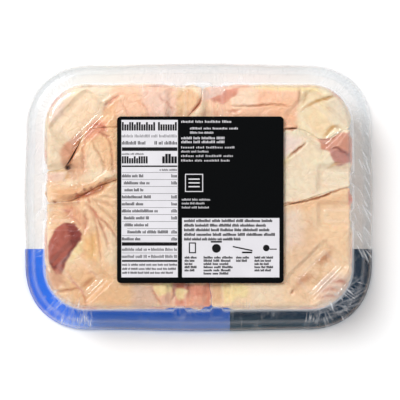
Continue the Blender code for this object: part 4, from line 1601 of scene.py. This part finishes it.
def ink(name, colour, roughness, sheen_tone=None):
    """Printed ink: one tone, slightly uneven, with a faint gloss; a painted highlight makes it paler where
    it turns up at the edge.
    """
    material, tree = new_material(name)
    place = add_node(tree, "ShaderNodeTexCoord")
    base, _ = cloudy_tone(tree, place, 60.0, 3.0, 0.90 * colour, np.minimum(1.08 * colour, 1.0))
    output = "Color"
    if sheen_tone is not None:
        parts = add_node(tree, "ShaderNodeSeparateXYZ")
        wire(tree, place, "Object", parts, "Vector")
        # Painted highlight: the ink pales towards the rim's edge
        towards_edge = ranged(tree, parts, "Y", BAND_SHEEN_FROM, BAND_SHEEN_TO)
        base = tinted(tree, base, output, towards_edge, "Result", 0.9, sheen_tone, "MIX")
        output = 2
    finish(tree, base, output, Roughness=roughness, Specular_IOR_Level=0.12)
    return material


# Each band ink's second colour is its painted highlight towards the rim
blue_ink = ink("blue_ink", linear(20, 112, 240), 0.35, linear(160, 196, 255))
navy_ink = ink("navy_ink", linear(2, 50, 82), 0.35, linear(64, 104, 126))
band = printed_band(blue_ink, navy_ink)
print("printed band has", len(band.data.polygons), "faces")

# %% [markdown]
# ## The label
#
# The label is black paper with two white panels. Its print is made of flat pieces
# of ink a few hundredths of a millimetre thick. No words are drawn: each word is a
# run of small upright strokes of mixed heights, which from a step away has the same
# grey as small type but says nothing.

# %% Paper and ink of the label
def label_paper():
    """Satin black paper with a faint tooth."""
    material, tree = new_material("label_paper")
    place = add_node(tree, "ShaderNodeTexCoord")
    tones, tooth = cloudy_tone(
        tree, place, 1400.0, 3.0, (0.0015, 0.0018, 0.0020), (0.0040, 0.0045, 0.0050)
    )
    bump = add_node(tree, "ShaderNodeBump")
    set_inputs(bump, Strength=0.2, Distance=0.00005)
    wire(tree, tooth, "Fac", bump, "Height")
    shader = finish(tree, tones, "Color", Roughness=0.30, Specular_IOR_Level=0.06)
    wire(tree, bump, "Normal", shader, "Normal")
    return material


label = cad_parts["label"]
label.data.materials.clear()
label.data.materials.append(label_paper())
white_ink = ink("white_ink", linear(212, 210, 214), 0.6)
black_ink = ink("black_ink", linear(16, 15, 17), 0.5)

# %% Flat pieces of print
LABEL_SIDE = LABEL_HIGH.x - LABEL_LOW.x
PANEL_LIFT = 0.00004
TYPE_LIFT = 0.00008
TYPE_SEED = 11
type_random = np.random.default_rng(TYPE_SEED)


class Print:
    """Flat boxes of one ink, laid out in millimetres from the label's top left corner."""

    def __init__(self, bottom, top):
        self.bottom = LABEL_HIGH.z + bottom
        self.top = LABEL_HIGH.z + top
        self.corners = []
        self.faces = []

    def add(self, outline):
        """One flat piece from its outline, anticlockwise."""
        start = len(self.corners)
        count = len(outline)
        for height in (self.bottom, self.top):
            for x, y in outline:
                self.corners.append((LABEL_LOW.x + x / 1000, LABEL_HIGH.y - y / 1000, height))
        self.faces.append([start + count + index for index in range(count)])
        self.faces.append([start + count - 1 - index for index in range(count)])
        for index in range(count):
            after = (index + 1) % count
            self.faces.append([start + index, start + after, start + count + after, start + count + index])

    def bar(self, left, right, top, bottom):
        """An upright rectangle."""
        self.add(((left, bottom), (right, bottom), (right, top), (left, top)))

    def make(self, name, material):
        """Turn everything added so far into one piece."""
        made = mesh_piece(name, self.corners, self.faces, material, smooth=False)
        return belongs(made, "label")


def word_run(sheet, left, right, middle, height, letters, weight=0.5):
    """Words as upright strokes: letters gives each word's number of strokes."""
    pitch = (right - left) / (sum(letters) + len(letters) - 1)
    cursor = left
    for count in letters:
        for _ in range(count):
            tall = height * (0.82 + 0.30 * (type_random.random() < 0.4))
            low = middle + height / 2
            sheet.bar(cursor, cursor + pitch * (0.34 + 0.45 * weight), low - tall, low)
            cursor += pitch
        cursor += pitch


# %% The facts panel
# Left, right, top and bottom of each white panel, in mm from the label's top left corner
FACTS_PANEL = (2.7, 37.1, 2.1, 98.1)
INFO_PANEL = (39.7, 99.0, 61.9, 98.1)
panels = Print(0.0, PANEL_LIFT)
for panel in (FACTS_PANEL, INFO_PANEL):
    panels.bar(*panel)
panels.make("label_panels", white_ink)

TYPE_LEFT = 3.0
TYPE_RIGHT = 36.8
# Each run has its left and right ends, its middle, its letter height, the letters of each
# word and their weight
FACT_HEADS = (
    (TYPE_LEFT, TYPE_RIGHT, 6.3, 4.6, (14, 8), 0.95),
    (TYPE_LEFT, TYPE_RIGHT, 12.0, 1.6, (9, 12, 5, 14), 0.1),
    (TYPE_LEFT, 17.6, 16.2, 1.9, (11, 6), 0.6),
    (22.9, TYPE_RIGHT, 16.2, 1.9, (2, 3, 9), 0.6),
    (TYPE_LEFT, 16.4, 22.9, 1.0, (10, 5, 11), 0.5),
    (TYPE_LEFT, 19.0, 26.7, 3.9, (11,), 0.95),
    (27.6, TYPE_RIGHT, 26.0, 5.2, (5,), 1.1),
    (26.0, TYPE_RIGHT, 32.6, 1.1, (2, 8, 10), 0.5),
)
# Top and bottom of each line ruled across the panel
FACT_RULES = ((18.8, 21.0), (29.9, 30.8), (76.7, 78.8), (83.1, 83.3), (87.5, 88.6))
dark = Print(PANEL_LIFT, TYPE_LIFT)
for run in FACT_HEADS:
    word_run(dark, *run)
for top, bottom in FACT_RULES:
    dark.bar(TYPE_LEFT, TYPE_RIGHT, top, bottom)

# Each row has the left and right ends of its words in mm, the letters of each word, and
# whether a figure stands at the right
FACT_ROWS = (
    (3.0, 16.2, (8, 5, 4), True), (4.2, 20.0, (13, 5, 3), True), (4.6, 16.2, (8, 5, 3), False),
    (3.0, 20.8, (17, 6), True), (3.0, 16.2, (10, 6), True), (3.0, 25.0, (8, 18, 3), True),
    (4.2, 19.6, (10, 8, 3), True), (4.6, 19.2, (8, 9, 3), False), (6.4, 31.2, (12, 3, 8, 9), True),
    (3.0, 14.4, (11, 5), True),
)
FIRST_ROW = 36.3
ROW_PITCH = 4.27
ROW_HEIGHT = 1.65
FIGURE_LEFT = 33.2
INDENTED_RULE = 8
for number, (left, right, letters, figure) in enumerate(FACT_ROWS):
    middle = FIRST_ROW + ROW_PITCH * number
    word_run(dark, left, right, middle, ROW_HEIGHT, letters, 0.75)
    if figure:
        word_run(dark, FIGURE_LEFT, TYPE_RIGHT, middle, 1.8, (5,), 0.6)
    rule_left = left if number == INDENTED_RULE else TYPE_LEFT
    dark.bar(rule_left, TYPE_RIGHT, middle - 2.25, middle - 2.07)
# Two lower rows in pairs with a dot between them, then three lines of small type
for middle in (81.1, 85.4):
    word_run(dark, TYPE_LEFT, 18.4, middle, ROW_HEIGHT, (11, 6, 3), 0.5)
    dark.bar(19.1, 20.0, middle - 0.4, middle + 0.5)
    word_run(dark, 20.8, TYPE_RIGHT, middle, ROW_HEIGHT, (12, 7, 3), 0.5)
for middle, right in ((90.4, TYPE_RIGHT), (92.9, 36.0), (95.3, 34.2)):
    word_run(dark, 3.2, right, middle, 1.15, (6, 2, 8, 7, 6, 5, 6, 5, 9), 0.8)

# %% The information panel
INFO_LEFT = 40.9
INFO_FIRST = 63.6
INFO_PITCH = 2.8
INFO_RIGHTS = (94.8, 90.8, 93.0, 96.4, 75.4)
for number, right in enumerate(INFO_RIGHTS):
    middle = INFO_FIRST + INFO_PITCH * number
    word_run(dark, INFO_LEFT, right, middle, 1.6, (9, 12, 7, 11, 6, 13, 9), 0.95)


def ring_points(x, y, radius, steps=20):
    """Points round a circle, anticlockwise on the label."""
    turn = [2 * math.pi * step / steps for step in range(steps)]
    return [(x + radius * math.cos(angle), y - radius * math.sin(angle)) for angle in turn]


def outlined_box(sheet, left, right, top, bottom, line):
    """A rectangle drawn as four bars."""
    sheet.bar(left, right, top, top + line)
    sheet.bar(left, right, bottom - line, bottom)
    sheet.bar(left, left + line, top + line, bottom - line)
    sheet.bar(right - line, right, top + line, bottom - line)


# Four plain shapes: a frame, a disc under a bar, a slanted stroke over a bar, and a disc
# with a handle
outlined_box(dark, 43.8, 48.2, 76.8, 83.4, 0.7)
dark.add(ring_points(60.6, 80.4, 2.7))
dark.bar(57.2, 63.9, 75.9, 76.9)
dark.add(((70.6, 78.9), (82.6, 81.4), (82.6, 82.2), (70.6, 79.7)))
dark.bar(76.2, 82.4, 82.4, 83.4)
dark.add(ring_points(91.0, 80.2, 2.0))
dark.bar(93.0, 97.4, 80.6, 81.2)
for left, right, lines in ((41.2, 48.6, 5), (52.8, 70.6, 6), (72.6, 80.6, 2), (83.8, 95.2, 5)):
    for number in range(lines):
        words = (7, 5, 8) if right - left > 9 else (6, 7)
        word_run(dark, left, right - 1.3 * (number % 3), 86.0 + 1.95 * number, 1.3, words, 1.0)
dark.make("label_dark_print", black_ink)

# %% White print on the black part
light = Print(0.0, PANEL_LIFT)
# Each line has its height on the label, its left and right ends, its letter height and its weight
LIGHT_LINES = (
    (3.2, 39.2, 70.0, 1.5, 0.7), (7.3, 44.6, 74.0, 1.4, 0.7), (9.9, 44.6, 59.0, 1.4, 0.7),
    (13.2, 39.2, 65.8, 1.6, 0.8), (15.6, 39.2, 65.8, 1.6, 0.8), (18.9, 39.2, 72.0, 1.3, 0.4),
    (21.4, 39.2, 56.0, 1.3, 0.5), (24.1, 39.2, 71.0, 1.3, 0.4), (26.9, 39.2, 69.0, 1.3, 0.4),
    (50.7, 39.6, 57.0, 1.3, 0.5), (53.0, 39.6, 53.6, 1.3, 0.5), (55.5, 39.6, 56.2, 1.3, 0.5),
)
for middle, left, right, height, weight in LIGHT_LINES:
    words = (8, 5, 10, 6, 9)[: 2 + int((right - left) / 11)]
    word_run(light, left, right, middle, 0.85 * height, words, 0.7 * weight)
outlined_box(light, 41.5, 52.5, 35.0, 46.0, 0.5)
for level in (38.2, 40.5, 42.8):
    light.bar(43.6, 50.4, level - 0.35, level + 0.35)
light.make("label_white_print", white_ink)
print("label laid out,", round(1000 * LABEL_SIDE, 1), "mm square")

# %% [markdown]
# ## Floor, light and camera
#
# The pack lies on plain white. A large soft lamp at the upper left gives the soft
# shadow at the lower right. Around it the surroundings are bright at the sides and
# dark overhead: a flat clear base seen straight on mirrors what is above it, and a
# dark ceiling keeps the base clear.

# %% Floor
FLOOR_HALF = 4.0


def make_floor():
    """A plain white sheet under the pack."""
    material, tree = new_material("white_table")
    place = add_node(tree, "ShaderNodeTexCoord")
    tones, _ = cloudy_tone(tree, place, 8.0, 2.0, (0.90, 0.90, 0.90), (0.92, 0.92, 0.92))
    finish(tree, tones, "Color", Roughness=0.9, IOR=1.2)
    corners = [(FLOOR_HALF * x, FLOOR_HALF * y, 0.0) for x, y in ((-1, -1), (1, -1), (1, 1), (-1, 1))]
    floor = mesh_piece("floor", corners, ((0, 1, 2, 3),), material, smooth=False)
    return floor


floor = make_floor()


# %% Lights
def soft_lamp(name, place, size, power):
    """A square area lamp aimed at the pack."""
    lamp = bpy.data.lights.new(name, "AREA")
    lamp.size = size
    lamp.energy = power
    made = bpy.data.objects.new(name, lamp)
    made.location = place
    made.rotation_euler = (-Vector(place)).to_track_quat("-Z", "Y").to_euler()
    bpy.context.scene.collection.objects.link(made)
    return made


# Each lamp has its place and its size in metres and its power in watts
LAMPS = {
    "key_lamp": ((-0.76, 0.72, 1.52), 0.70, 25.0),
    "fill_lamp": ((0.95, -0.75, 1.10), 0.20, 3.0),
}
for name, values in LAMPS.items():
    soft_lamp(name, *values)

# %% Surroundings
# From level with the pack (0) to straight above it (1)
SKY = ((0.0, (0.95, 0.95, 0.96)), (0.80, (0.75, 0.75, 0.76)), (0.96, (0.06, 0.06, 0.06)))
SKY_STRENGTH = 0.92


def surroundings():
    """A pale studio: bright at the sides, dark overhead."""
    world = bpy.data.worlds.new("studio")
    world.use_nodes = True
    tree = world.node_tree
    tree.nodes.clear()
    place = add_node(tree, "ShaderNodeTexCoord")
    parts = add_node(tree, "ShaderNodeSeparateXYZ")
    wire(tree, place, "Generated", parts, "Vector")
    tones = add_node(tree, "ShaderNodeValToRGB")
    ramp = tones.color_ramp
    ramp.elements.new(SKY[1][0])
    for element, (level, tone) in zip(ramp.elements, SKY):
        element.position = level
        element.color = (*tone, 1.0)
    wire(tree, parts, "Z", tones, "Fac")
    glow = add_node(tree, "ShaderNodeBackground")
    set_inputs(glow, Strength=SKY_STRENGTH)
    wire(tree, tones, "Color", glow, "Color")
    end = add_node(tree, "ShaderNodeOutputWorld")
    wire(tree, glow, "Background", end, "Surface")
    bpy.context.scene.world = world


surroundings()

# %% [markdown]
# The camera hangs straight above, far enough away that the rim, 42 mm lower than
# the base, looks only three per cent smaller. A long lens then frames the pack.

# %% Camera
CAMERA_HEIGHT = 1.5
SENSOR = 36.0
PICTURE = 400
# A ray crosses the film and the tray twice each, and more often where they fold
CLEAR_LAYERS = 24
camera_data = bpy.data.cameras.new("camera")
camera_data.sensor_width = SENSOR
camera_data.lens = SENSOR * CAMERA_HEIGHT / (PICTURE * PIXEL)
camera = bpy.data.objects.new("camera", camera_data)
aim = ((PICTURE / 2 - MIDDLE_COLUMN) * PIXEL, (MIDDLE_ROW - PICTURE / 2) * PIXEL)
camera.location = (*aim, TRAY_TOP + CAMERA_HEIGHT)
bpy.context.scene.collection.objects.link(camera)
bpy.context.scene.camera = camera
bpy.context.scene.view_settings.view_transform = "Standard"
bpy.context.scene.cycles.transparent_max_bounces = CLEAR_LAYERS
print("lens", round(camera_data.lens, 1), "mm")
